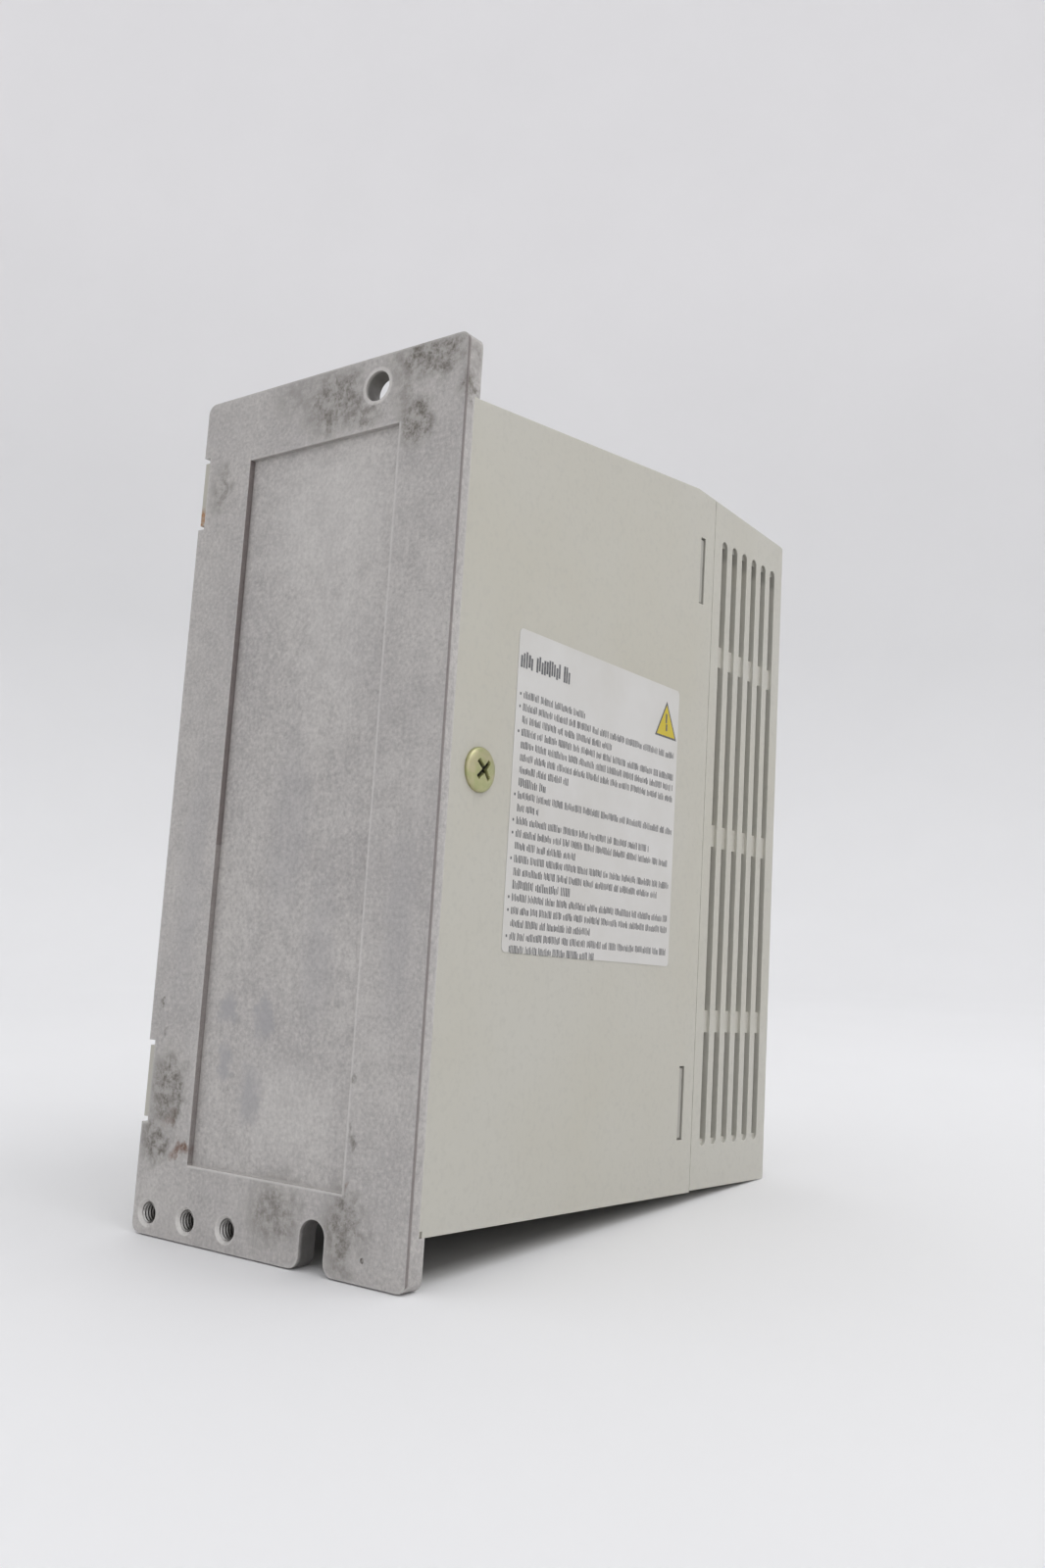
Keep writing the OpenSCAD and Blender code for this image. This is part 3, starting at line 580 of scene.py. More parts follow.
def moulded_plastic(name, colour, aged, roughness=0.52, grain=1500.0, relief=0.022, dusty=0.0):
    """Moulded plastic: drifts towards its aged colour, specks, rubbed edges, dust on top, and mould grain."""
    material, shader, where = new_material(name, Specular_IOR_Level=0.45)
    drift = noise(where, 16.0, 4.0, 0.55)
    toned = blend_colours(ramp(drift, [(0.35, 0.0), (0.68, 1.0)]), colour, aged)
    darker = tuple(part * 0.86 for part in colour)
    specked = blend_colours(ramp(noise(where, 900.0, 2.0), [(0.50, 0.0), (0.80, 0.5)]), toned, darker)
    rubbed = use_group(edge_group, where, Radius=0.4 * MM, Breakup=500.0)
    lighter = tuple(min(1.0, part * 1.16 + 0.01) for part in colour)
    edged = blend_colours(rubbed, specked, lighter)
    settle = remap(split(where.node.outputs["Normal"])["Z"], (0.55, 1.0), (0.0, dusty))
    dust = calc("MULTIPLY", settle, ramp(noise(where, 180.0, 6.0, 0.7), [(0.35, 0.2), (0.65, 1.0)]))
    feed(shader, "Base Color", blend_colours(dust, edged, (0.46, 0.45, 0.43)))
    feed(shader, "Roughness", remap(drift, (0.3, 0.7), (roughness - 0.05, roughness + 0.06)))
    bumped(shader, use_group(grain_group, where, Scale=grain, Waviness=0.3), relief, 0.55)
    return material


case_plastic = moulded_plastic("case_plastic", CASE_COLOUR, CASE_AGED, dusty=0.35)
where = object_space(case_plastic.node_tree)
axes = split(where)
width = calc("ABSOLUTE", axes["X"])

# The hooks' outer ends are greyer where hands and the plate's edge touch them.
hook_ends = remap(axes["Y"], (-2.7 * MM, -2.2 * MM), (0.0, 0.12))
overlaid(case_plastic, (0.40, 0.39, 0.365), hook_ends)

# The upper hook's lower end has a rust stain.
from_stain = vector_calc("LENGTH", vector_calc("SUBTRACT", where, (34.6 * MM, -0.8 * MM, 143.4 * MM)))
rust_grain = ramp(noise(where, 1500.0, 2.0), [(0.35, 0.35), (0.6, 1.0)])
overlaid(case_plastic, (0.34, 0.16, 0.055), times(near_to(from_stain, 0.0, 1.3, 1.2, 0.95), rust_grain))

# Painted shade darkens the latch arms' tips in the rear case's windows, and the inside of the vents' upper
# ends.
# Painted shade on the latch tips, recessed in the windows.
latch_tip_shade = times(near_to(width, 34.0, 0.72, 0.12, 0.7), near_to(axes["Y"], -88.05, 1.1, 0.1))
overlaid(case_plastic, (0.33, 0.32, 0.29), latch_tip_shade)
# Painted shade inside the vents' upper ends.
vent_top_shade = times(near_to(width, 33.5, 1.2, 0.25, 0.4), near_to(axes["Z"], 158.0, 4.0, 1.5))
overlaid(case_plastic, (0.13, 0.125, 0.11), times(vent_top_shade, near_to(axes["Y"], -112.0, 17.0, 0.5)))
reshaped("rear_case", 0.2, case_plastic)


# Front cover
# The vented cap, moulded in the same plastic. Four latch arms snap into the rear case's windows,
# and its front holds the sockets, the display, the buttons and the two doors' hinge ears.
reshaped("front_cover", 0.2, case_plastic)

# Small printed marks above the buttons: a square, two arrowheads and a square.
BUTTONS = ("mode_button", "up_button", "down_button", "set_button")
MARK_Z = 137.2
MARK_SIZE = 1.0
COVER_FRONT = 130.0


def span(node):
    """A CAD node's width, depth and height ranges in millimetres; depth counts from the mounting face."""
    low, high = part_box(node)
    return (low.x / MM, high.x / MM), (-high.y / MM, -low.y / MM), (low.z / MM, high.z / MM)


def middle_of(node):
    """The middle of a CAD node's width and height ranges in millimetres."""
    width, _, height = span(node)
    return sum(width) / 2, sum(height) / 2


def flat_shape(outline, depth):
    """A flat shape that faces the front: width and height points, clockwise as seen from behind."""
    points = np.array([(x, -depth, z) for x, z in outline]) * MM
    return points, [list(range(len(outline)))]


marks = []
for node, turns in zip(BUTTONS, (None, 1, -1, None)):
    x, _ = middle_of(node)
    if turns is None:
        corners = ((-1, -1), (1, -1), (1, 1), (-1, 1))
    else:
        corners = ((-1, -turns), (1, -turns), (0, turns))[::turns]
    outline = [(x + dx * MARK_SIZE, MARK_Z + dz * MARK_SIZE) for dx, dz in corners]
    marks.append(flat_shape(outline, COVER_FRONT + 0.02))
print_marks = new_piece("button_marks", *joined(marks), smooth=False)


def printed_ink(name, colour, worn):
    """Screen-printed ink, a little thin in places."""
    material, shader, where = new_material(name, Specular_IOR_Level=0.35)
    thin = noise(where, 1600.0, 3.0)
    feed(shader, "Base Color", blend_colours(ramp(thin, [(0.45, 0.0), (0.75, 0.8)]), colour, worn))
    feed(shader, "Roughness", remap(thin, wanted=(0.35, 0.6)))
    return material


dark_ink = printed_ink("dark_ink", (0.045, 0.045, 0.05), (0.16, 0.16, 0.16))
settled(print_marks, dark_ink)


# Case screw
# A steel truss-head screw with a cross recess, yellow-green from its zinc passivation. It holds
# the case to the heatsink, and its recess is darkened with painted shade.
def smooth_step(value, low, high):
    """0 below low, 1 above high, and a smooth rise between them."""
    t = np.clip((value - low) / (high - low), 0, 1)
    return t * t * (3 - 2 * t)


def turned_screw(place, axis, head, crown, recess, shank, turn=0.0, segments=96):
    """A screw: a domed head of radius and height head, on a shank of radius and length shank.

    The dome's height is crown at the middle, and the cross recess of arm length and depth recess is
    pressed into it: height = dome(r) - depth * cross(u, v). The axis points out of the head.
    """
    radius, rim = head
    arm, deep = recess
    rows = np.concatenate([np.linspace(0, arm * 1.25, 30), np.linspace(arm * 1.32, radius, 10)])
    angle = np.linspace(0, 2 * math.pi, segments, endpoint=False)
    r, a = np.meshgrid(rows, angle, indexing="ij")
    top = rim + (crown - rim) * np.sqrt(np.clip(1 - (r / radius) ** 2, 0, 1))
    u, v = np.abs(r * np.cos(a + turn)), np.abs(r * np.sin(a + turn))
    half, soft = arm * 0.17, arm * 0.05
    cross = np.maximum(
        (1 - smooth_step(u, half - soft, half + soft)) * (1 - smooth_step(v, arm * 0.9, arm)),
        (1 - smooth_step(v, half - soft, half + soft)) * (1 - smooth_step(u, arm * 0.9, arm)),
    )
    top = top - deep * cross * (1 - 0.35 * r / arm)
    below = [
        (radius, 0.0),
        (shank[0], 0.0),
        (shank[0], 0.3 - shank[1]),
        (shank[0] * 0.7, -shank[1]),
        (0.0, -shank[1]),
    ]
    radii = np.concatenate([rows, [pair[0] for pair in below]])
    heights = np.concatenate([top, np.repeat([[pair[1]] for pair in below], segments, 1)])
    out = Vector(axis).normalized()
    first = Vector((0, 0, 1)) if abs(out.x) > 0.5 else Vector((1, 0, 0))
    second = np.array(out.cross(first))
    flat_part = radii[:, None, None] * (
        np.cos(angle)[None, :, None] * np.array(first) + np.sin(angle)[None, :, None] * second
    )
    points = np.array(place) + flat_part + heights[:, :, None] * np.array(out)
    return points.reshape(-1, 3) * MM, grid_faces(len(radii), segments, closed=True)


def sewn(name, points, faces):
    """A new piece with the doubled points at its seams and poles merged and its faces turned outwards."""
    piece = new_piece(name, points, faces)
    work = bmesh.new()
    work.from_mesh(piece.data)
    bmesh.ops.remove_doubles(work, verts=work.verts, dist=1e-7)
    bmesh.ops.recalc_face_normals(work, faces=work.faces)
    work.to_mesh(piece.data)
    work.free()
    piece.data.set_sharp_from_angle(angle=SHARP_EDGE)
    return piece


_, screw_depths, screw_heights = span("case_screw")
screw_place = (-35.0, -sum(screw_depths) / 2, sum(screw_heights) / 2)
screw = turned_screw(screw_place, (-1, 0, 0), (4.1, 0.35), 1.4, (2.3, 1.15), (1.95, 10.5), turn=math.pi / 4)
case_screw = sewn("case_screw_turned", *screw)
passivated, shader, where = new_material("passivated_steel", Metallic=0.85)
tide = noise(where, 260.0, 4.0, distortion=0.6)
film = ramp(
    tide,
    [
        (0.30, (0.36, 0.39, 0.19)),
        (0.48, (0.43, 0.43, 0.23)),
        (0.62, (0.50, 0.46, 0.29)),
        (0.75, (0.38, 0.43, 0.31)),
    ],
)
inward = vector_calc("SUBTRACT", where, tuple(c * MM for c in screw_place))
away = vector_calc("LENGTH", vector_calc("MULTIPLY", inward, (0.0, 1 / MM, 1 / MM)))
pit = remap(split(inward)["X"], (-0.95 * MM, -0.5 * MM))
# Painted shade in the cross recess.
recess_shade = calc("MULTIPLY", pit, remap(away, (2.7, 2.4)))
feed(shader, "Base Color", blend_colours(recess_shade, film, (0.05, 0.05, 0.035)))
feed(shader, "Roughness", remap(tide, wanted=(0.30, 0.46)))
bumped(shader, tide, 0.02, 0.4)
settled(case_screw, passivated, node="case_screw")


# Side label
# White polyester film, printed in black, with a yellow triangle. Its rows are plain broken bars
# that stand where such a label has its lines, and its marks say nothing.
LABEL_ROWS = (44.1, 78.6, 53.7, 79.0, 79.0, 79.0, 38.8, 32.4, 79.0, 29.5, 70.2,
              78.1, 42.7, 79.0, 74.0, 41.7, 78.6, 79.0, 49.8, 79.0, 51.0)
BULLET_ROWS = (0, 1, 3, 8, 10, 11, 13, 16, 17, 19)
BOLD_ROWS = (7, 15)
ROW_FIRST_Z = 105.1
ROW_PITCH = 2.37
ROW_START = 22.4
BAR_HEIGHT = 1.45
STROKE_PITCH = 0.46
HEADER = ((20.9, 37.6), (110.1, 113.3))
TRIANGLE = ((70.1, 106.2), (79.2, 106.2), (74.65, 114.3))
INK_LIFT = 0.015


def about(middle, half):
    """The range from half below a middle to half above it."""
    return middle - half, middle + half


def label_shape(outline, face):
    """A flat printed shape on a side wall: depth and height points at a face, which is left of 0 or right."""
    points = np.array([(face, -d, z) for d, z in outline]) * MM
    order = list(range(len(outline)))
    return points, [order if face < 0 else order[::-1]]


def label_block(depths, heights, face):
    """A flat printed rectangle on a side wall."""
    (d0, d1), (z0, z1) = depths, heights
    return label_shape([(d1, z0), (d1, z1), (d0, z1), (d0, z0)], face)


def broken_bar(depths, z, height, pitch, face, weight=(0.42, 0.68)):
    """A bar broken into words of short upright strokes, each stroke's top and foot a little uneven."""
    shapes, (place, end) = [], depths
    while place < end - pitch:
        for _ in range(int(draw.integers(4, 15))):
            if place > end - pitch:
                break
            foot, top = draw.choice([0.0, 0.0, 0.0, 0.12]), draw.choice([1.0, 1.0, 0.88, 0.72])
            wide = pitch * draw.uniform(*weight)
            heights = (z - height / 2 + height * foot, z - height / 2 + height * top)
            shapes.append(label_block((place, place + wide), heights, face))
            place += pitch
        place += pitch * 1.1
    return shapes


label_face = span("side_label")[0][0] - INK_LIFT
draw = np.random.default_rng(11)
header_low, header_high = HEADER[1]
shapes = broken_bar(
    HEADER[0], (header_low + header_high) / 2, header_high - header_low, 0.82, label_face, (0.62, 0.80)
)
for row, end in enumerate(LABEL_ROWS):
    z = ROW_FIRST_Z - ROW_PITCH * row
    tall, wide = (1.15, 1.2) if row in BOLD_ROWS else (1.0, 1.0)
    shapes += broken_bar((ROW_START, end), z, BAR_HEIGHT * tall, STROKE_PITCH * wide, label_face)
    if row in BULLET_ROWS:
        shapes.append(label_block((21.2, 21.65), about(z, 0.25), label_face))
shapes.append(label_shape(TRIANGLE, label_face))
label_print = new_piece("side_label_print", *joined(shapes), smooth=False)
label_ink = printed_ink("label_ink", (0.10, 0.10, 0.105), (0.22, 0.22, 0.22))
settled(label_print, label_ink)
centre = np.mean(TRIANGLE, 0)
inner = [tuple(centre + (np.array(corner) - centre) * 0.84) for corner in TRIANGLE]
yellow_field = new_piece("side_label_triangle", *label_shape(inner, label_face - INK_LIFT), smooth=False)
strokes = (((74.3, 74.9), (109.4, 111.5)), ((74.5, 75.1), (107.7, 109.2)))
mark = [label_block(depths, heights, label_face - 2 * INK_LIFT) for depths, heights in strokes]
settled(new_piece("side_label_mark", *joined(mark), smooth=False), label_ink)
settled(yellow_field, printed_ink("yellow_ink", (0.55, 0.43, 0.03), (0.52, 0.43, 0.08)))


def printed_film(name, colour, soiled, roughness, metallic=0.0):
    """Label film: faint soiling, a satin surface and slight unevenness of the glue beneath."""
    material, shader, where = new_material(name, Metallic=metallic, Specular_IOR_Level=0.5)
    soil = noise(where, 45.0, 5.0, 0.6)
    feed(shader, "Base Color", blend_colours(ramp(soil, [(0.38, 0.0), (0.70, 1.0)]), colour, soiled))
    feed(shader, "Roughness", remap(soil, wanted=about(roughness, 0.08)))
    bumped(shader, noise(where, 420.0, 2.0), 0.02, 0.5)
    return material


def finished(material, *nodes):
    """Gives CAD nodes whose shape is already right their own material."""
    for name in nodes:
        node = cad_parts[name]
        node.data.materials.clear()
        node.data.materials.append(material)


finished(printed_film("label_film", (0.60, 0.59, 0.57), (0.555, 0.54, 0.51), 0.42), "side_label")


# Rating label
# Silvery metallised film on the far side, with a heading bar, ruled boxes and rows of plain bars
# where the ratings of such a drive are printed.
(_, rating_side), (back, front), (_, top) = span("rating_label")
rating_face = rating_side + INK_LIFT
RATING_ROWS = 9
RATING_PITCH = 3.9
shapes = [label_block((back + 3, front - 3), (top - 8, top - 4), rating_face)]
for row in range(RATING_ROWS):
    z = top - 12 - RATING_PITCH * row
    shapes.append(label_block((back + 3, front - 3), (z + 1.6, z + 1.75), rating_face))
    for start, length in ((back + 4, 12), (back + 22, None)):
        length = length or draw.uniform(10, 22)
        shapes += broken_bar((start, start + length), z, 1.3, STROKE_PITCH, rating_face)
rating_print = new_piece("rating_label_print", *joined(shapes), smooth=False)
settled(rating_print, dark_ink)
finished(
    printed_film("rating_film", (0.72, 0.73, 0.74), (0.60, 0.61, 0.62), 0.34, metallic=0.7), "rating_label"
)


# Display door
# A thin moulded lid on two stub pins, with a thumb tab on its lower edge. It is a little glossier
# than the case, and three short ribs on it guide the thumb.
RIB_HEIGHT = 0.35
RIB_PITCH = 1.5


def blocks(name, ranges, rounding=0.0):
    """One mesh of blocks, each given by its width, depth and height ranges in millimetres."""
    ranges = np.asarray(ranges, float)
    low = np.stack([ranges[:, 0, 0], -ranges[:, 1, 1], ranges[:, 2, 0]], 1)
    high = np.stack([ranges[:, 0, 1], -ranges[:, 1, 0], ranges[:, 2, 1]], 1)
    pick = np.array([(0, 0, 0), (1, 0, 0), (1, 1, 0), (0, 1, 0), (0, 0, 1), (1, 0, 1), (1, 1, 1), (0, 1, 1)])
    corners = low[:, None] + (high - low)[:, None] * pick[None]
    sides = np.array([(0, 3, 2, 1), (4, 5, 6, 7), (0, 1, 5, 4), (1, 2, 6, 5), (2, 3, 7, 6), (3, 0, 4, 7)])
    faces = (np.arange(len(ranges))[:, None, None] * len(pick) + sides[None]).reshape(-1, 4).tolist()
    piece = new_piece(name, corners.reshape(-1, 3) * MM, faces, smooth=rounding > 0)
    if rounding:
        bevel = piece.modifiers.new("rounded_edges", "BEVEL")
        bevel.width = rounding * MM
        bevel.segments = 2
        bevel.limit_method = "NONE"
        bevel.harden_normals = True
    return piece


door_plastic = moulded_plastic(
    "door_plastic", (0.515, 0.50, 0.45), (0.50, 0.48, 0.415), roughness=0.42, grain=2200.0, dusty=0.2
)
reshaped("display_door", 0.3, door_plastic, "display_door")
_, door_depths, door_heights = span("display_door")
rib_foot = door_heights[0] + 2.6
rib_depths = (door_depths[1] - 0.1, door_depths[1] + RIB_HEIGHT)
ribs = [
    ((-6.0, 6.0), rib_depths, (rib_foot + RIB_PITCH * i, rib_foot + RIB_PITCH * i + 0.7)) for i in range(3)
]
settled(blocks("display_door_ribs", ribs, 0.15), door_plastic, "display_door")


# Terminal cover
# The swing door over the terminals: the same plastic and thickness, notched along its lower edge
# for the wires, with three grip ribs along its free edge.
reshaped("terminal_cover", 0.3, door_plastic, "terminal_cover")
flap_width, flap_depths, _ = span("terminal_cover")
rib_edge = flap_width[1] - 4.2
rib_depths = (flap_depths[1] - 0.1, flap_depths[1] + RIB_HEIGHT)
ribs = [
    ((rib_edge - RIB_PITCH * i - 0.7, rib_edge - RIB_PITCH * i), rib_depths, (27.0, 37.0)) for i in range(3)
]
settled(blocks("terminal_cover_ribs", ribs, 0.15), door_plastic, "terminal_cover")


# Display window
# A clear red-brown acrylic window behind the cover's face, polished, with fine wiping scratches.
def clear_plastic(name, colour, roughness, ior=1.49):
    """A clear tinted plastic with fine scratches in its polish."""
    material, shader, where = new_material(name, Transmission_Weight=0.92, IOR=ior)
    scratches = noise(stretched(where, (0.2, 1.0, 3.0)), 900.0, 4.0)
    darker = tuple(part * 0.8 for part in colour)
    feed(shader, "Base Color", blend_colours(ramp(scratches, [(0.45, 0.0), (0.75, 1.0)]), colour, darker))
    feed(shader, "Roughness", remap(scratches, wanted=(roughness, roughness + 0.1)))
    return material


reshaped("display_lens", 0.15, clear_plastic("smoked_window", (0.80, 0.36, 0.31), 0.03))


# Display module
# A black moulded block with five seven-segment digits. The drive is off, so the segments show as
# dull pinkish epoxy strokes.
DIGITS = 5
DIGIT_PITCH = 5.0
DIGIT_HALF = (1.55, 3.3)
STROKE = 0.62
DIGIT_LEAN = 0.10

module_width, module_depths, module_heights = span("display_module")
digit_face = module_depths[1] + 0.02
digit_centre = sum(module_heights) / 2


def segment(x, start, end):
    """One display segment: a six-sided stroke between two points, leaning with its digit."""
    start, end = np.array(start, float), np.array(end, float)
    ahead = (end - start) / np.linalg.norm(end - start)
    side = np.array([-ahead[1], ahead[0]]) * STROKE / 2
    start, end = start + ahead * 0.14, end - ahead * 0.14
    outline = [start, start + ahead * STROKE / 2 - side, end - ahead * STROKE / 2 - side, end,
               end - ahead * STROKE / 2 + side, start + ahead * STROKE / 2 + side]
    return flat_shape([(x + u + DIGIT_LEAN * v, digit_centre + v) for u, v in outline], digit_face)


wide, tall = DIGIT_HALF
ends = [
    ((-wide, tall), (wide, tall)),
    ((-wide, 0), (wide, 0)),
    ((-wide, -tall), (wide, -tall)),
    ((-wide, 0), (-wide, tall)),
    ((wide, 0), (wide, tall)),
    ((-wide, -tall), (-wide, 0)),
    ((wide, -tall), (wide, 0)),
]
shapes = []
for digit in range(DIGITS):
    x = sum(module_width) / 2 + (digit - (DIGITS - 1) / 2) * DIGIT_PITCH
    shapes += [segment(x, start, end) for start, end in ends]
    dot = [
        (x + 2.25 + 0.32 * math.cos(a), digit_centre - tall + 0.32 * math.sin(a))
        for a in np.linspace(0, 2 * math.pi, 12, endpoint=False)
    ]
    shapes.append(flat_shape(dot, digit_face))
digits = new_piece("display_digits", *joined(shapes), smooth=False)
settled(
    digits,
    moulded_plastic("segment_epoxy", (0.75, 0.60, 0.55), (0.68, 0.53, 0.48), roughness=0.3, relief=0.005),
)
black_plastic = moulded_plastic(
    "black_plastic", (0.035, 0.035, 0.038), (0.05, 0.048, 0.045), roughness=0.36, relief=0.012, dusty=0.12
)
reshaped("display_module", 0.25, black_plastic)


# Push buttons
# Four turned-looking caps moulded in dark grey: a dished top, a rounded rim, a flange that keeps
# them behind the cover, and a stem down to the switch.
button_plastic = moulded_plastic(
    "button_plastic", (0.075, 0.078, 0.085), (0.095, 0.095, 0.098), roughness=0.4, relief=0.01
)


def turned_shape(place, profile, segments):
    """A shape turned round the depth axis: pairs of radius and depth, from its front end to its back."""
    points = turned_profile(profile, segments)
    points = np.stack([place[0] + points[:, 0], -points[:, 2], place[1] + points[:, 1]], 1) * MM
    return points, grid_faces(len(profile), segments, closed=True)


def turned_part(name, place, profile):
    """One piece turned round the depth axis."""
    return sewn(name, *turned_shape(place, profile, 48))


def rim(radius, depth, fillet, steps=5):
    """Profile points of a rounded front rim that ends on the side at the given radius."""
    angle = np.linspace(math.pi / 2, 0, steps)
    return [(radius - fillet + fillet * math.cos(a), depth - fillet + fillet * math.sin(a)) for a in angle]


for node in BUTTONS:
    back, front = span(node)[1]
    dish = [(r, front - 0.28 * (1 - (r / 1.5) ** 2)) for r in np.linspace(0, 1.5, 7)]
    flange = [
        (2.0, front - 3.9),
        (3.0, front - 3.9),
        (3.0, front - 4.8),
        (1.2, front - 4.8),
        (1.2, back),
        (0, back),
    ]
    cap = turned_part(node + "_cap", middle_of(node), dish + rim(2.0, front, 0.4) + flange)
    settled(cap, button_plastic, node, node)


# Charge lamp
# A clear red lamp with a domed front, on two tinned wires.
wire_end, lamp_front = span("charge_lamp")[1]
lamp_place = middle_of("charge_lamp")
LAMP_RADIUS = 2.5
LAMP_DOME = 1.6
dome = [
    (LAMP_RADIUS * math.sin(a), lamp_front - LAMP_DOME + LAMP_DOME * math.cos(a))
    for a in np.linspace(0, math.pi / 2, 9)
]
lamp_back = lamp_front - 9.8
lamp_profile = dome + [(LAMP_RADIUS, lamp_back + 1), (2.9, lamp_back + 1), (2.9, lamp_back), (0, lamp_back)]
lamp = turned_part("charge_lamp_body", lamp_place, lamp_profile)
settled(lamp, clear_plastic("lamp_red", (0.62, 0.035, 0.03), 0.05), node="charge_lamp")
tinned = bare_metal("tinned_copper", (0.70, 0.68, 0.63), (0.52, 0.50, 0.46), roughness=(0.3, 0.45))
wires = [(about(x, 0.3), (wire_end, lamp_back + 0.5), about(lamp_place[1], 0.3)) for x in (-1.27, 1.27)]
settled(blocks("charge_lamp_wires", wires), tinned)


# Ribbon connectors
# Four black insulators soldered to the control board. Each has a nickel-plated shell round its
# mouth, a tongue with ten contacts on either face, and two latch posts.
CONTACTS = 10
CONTACT_PITCH = 1.778
SHELL_WALL = 0.3
nickel = bare_metal("nickel_plate", (0.74, 0.72, 0.68), (0.60, 0.58, 0.54), roughness=(0.22, 0.36))
gilt = bare_metal("gilt_contact", (0.80, 0.60, 0.26), (0.66, 0.48, 0.20), roughness=(0.2, 0.3), scale=900.0)


def rounded_outline(half_width, half_height, radius, steps=6):
    """Points of a rounded rectangle about the origin: four quarter circles joined by straight sides."""
    quarter = np.linspace(0, math.pi / 2, steps)
    corners = ((1, 1, 0), (-1, 1, 1), (-1, -1, 2), (1, -1, 3))
    return np.array([
        (sx * (half_width - radius) + radius * math.cos(a + turns * math.pi / 2),
         sz * (half_height - radius) + radius * math.sin(a + turns * math.pi / 2))
        for sx, sz, turns in corners for a in quarter
    ])


def ring_of(name, place, halves, radius, wall, depths):
    """A rounded rectangular tube along the depth, closed at both ends by its own wall."""
    outer = rounded_outline(*halves, radius)
    within = rounded_outline(halves[0] - wall, halves[1] - wall, radius - wall * 0.8)
    rows = [
        (outer, depths[0]), (outer, depths[1]), (within, depths[1]), (within, depths[0]), (outer, depths[0])
    ]
    points = np.concatenate(
        [
            np.stack([place[0] + line[:, 0], np.full(len(line), -depth), place[1] + line[:, 1]], 1)
            for line, depth in rows
        ]
    ) * MM
    return sewn(name, points, grid_faces(len(rows), len(outer), closed=True))


for node in ("io_connector_a", "io_connector_b", "encoder_connector", "serial_connector"):
    reshaped(node, 0.2, black_plastic)
    x, z = middle_of(node)
    front = span(node)[1][1]
    shell = ring_of(node + "_shell", (x, z), (3.18, 11.18), 1.0, SHELL_WALL, (front - 7.8, front + 0.35))
    settled(shell, nickel)
    contacts = []
    for index in range(CONTACTS):
        row_z = z + (index - (CONTACTS - 1) / 2) * CONTACT_PITCH
        contacts += [
            (about(x + side * 0.93, 0.06), (front - 7.9, front - 5.3), about(row_z, 0.35))
            for side in (-1, 1)
        ]
    settled(blocks(node + "_contacts", contacts), gilt)
    posts = [(about(x, 1.5), (front - 0.2, front + 0.8), about(z + side * 13.1, 0.9)) for side in (-1, 1)]
    settled(blocks(node + "_latches", posts, 0.25), nickel)


# Main terminals
# A black glass-filled block with six pockets. Each pocket has a tinned clamp plate under a plated
# pan-head screw.
terminal_plastic = moulded_plastic(
    "terminal_plastic", (0.05, 0.05, 0.052), (0.07, 0.066, 0.06), roughness=0.46, relief=0.02, dusty=0.2
)
reshaped("main_terminal_block", 0.25, terminal_plastic)
reshaped("terminal_clamps", 0.15, tinned)
TERMINAL_X = (-15.2, 0.0, 15.2)
TERMINAL_Z = (24.0, 39.0)
HEAD_HEIGHT = 2.0
TICK_DEPTHS = (129.35, 129.43)
TICK_HEIGHTS = (31.0, 32.0)
screw_back, screw_front = span("terminal_screws")[1]
under_head = screw_front - HEAD_HEIGHT
heads = []
for number, (x, z) in enumerate((x, z) for x in TERMINAL_X for z in TERMINAL_Z):
    size_and_turn = (3.3, 0.7), HEAD_HEIGHT, (1.9, 0.9), (1.74, under_head - screw_back), 0.4 + 0.9 * number
    heads.append(turned_screw((x, -under_head, z), (0, -1, 0), *size_and_turn, segments=64))
plated = bare_metal("plated_steel", (0.70, 0.70, 0.71), (0.50, 0.50, 0.50), roughness=(0.26, 0.4))
settled(sewn("terminal_screws_turned", *joined(heads)), plated, node="terminal_screws")

# One to three small ticks between the pockets count the columns.
marks = []
for number, x in enumerate(TERMINAL_X):
    marks += [((x - 0.35 - 0.9 * k, x - 0.9 * k), TICK_DEPTHS, TICK_HEIGHTS) for k in range(1 + number)]
white_ink = printed_ink("white_ink", (0.75, 0.75, 0.73), (0.60, 0.60, 0.58))
settled(blocks("terminal_marks", marks), white_ink)


# Control supply header
# A green five-way header that faces down through the cover, with square tinned pins.
header_green = moulded_plastic(
    "header_green", (0.045, 0.165, 0.075), (0.06, 0.18, 0.08), roughness=0.38, relief=0.012
)
reshaped("control_supply_header", 0.2, header_green)
foot = span("control_supply_header")[2][0]
SUPPLY_PIN_DEPTHS = (105.48, 106.52)
pins = [(about(5 * i, 0.52), SUPPLY_PIN_DEPTHS, (foot + 5.4, foot + 9.3)) for i in range(-2, 3)]
settled(blocks("control_supply_pins", pins, 0.12), tinned)


# Battery connector
# A white two-pin header on the control board, for the lead of the encoder's backup battery.
header_white = moulded_plastic(
    "header_white", (0.66, 0.65, 0.60), (0.62, 0.58, 0.48), roughness=0.42, relief=0.012
)
reshaped("battery_connector", 0.08, header_white)
x, z = middle_of("battery_connector")
back = span("battery_connector")[1][0]
pins = [(about(x + dx, 0.32), (back + 1, back + 7), (z - 0.1, z + 0.54)) for dx in (-1.25, 1.25)]
settled(blocks("battery_pins", pins, 0.08), tinned)


# Switches
# Black momentary switches with pressed tinplate covers, one behind each button.
finished(black_plastic, "tact_switches")
switch_front = span("tact_switches")[1][1] - 0.8
covers = []
for node in BUTTONS:
    x, z = middle_of(node)
    covers += [
        (about(x, 3.02), (switch_front - 0.1, switch_front + 0.12), about(z + side * 2.35, 0.65))
        for side in (-1, 1)
    ]
settled(blocks("switch_covers", covers), tinned)


# Printed boards
# Two glass-epoxy boards under glossy green solder mask, with the copper tracks showing through
# it, and rows of small parts soldered to the control board.
def wave(where, scale, direction):
    """Even bands across one axis, from 0 to 1."""
    inputs = {"Vector": where, "Scale": scale, "Distortion": 0.0}
    return add_node(where.id_data, "ShaderNodeTexWave", inputs, bands_direction=direction).outputs["Fac"]


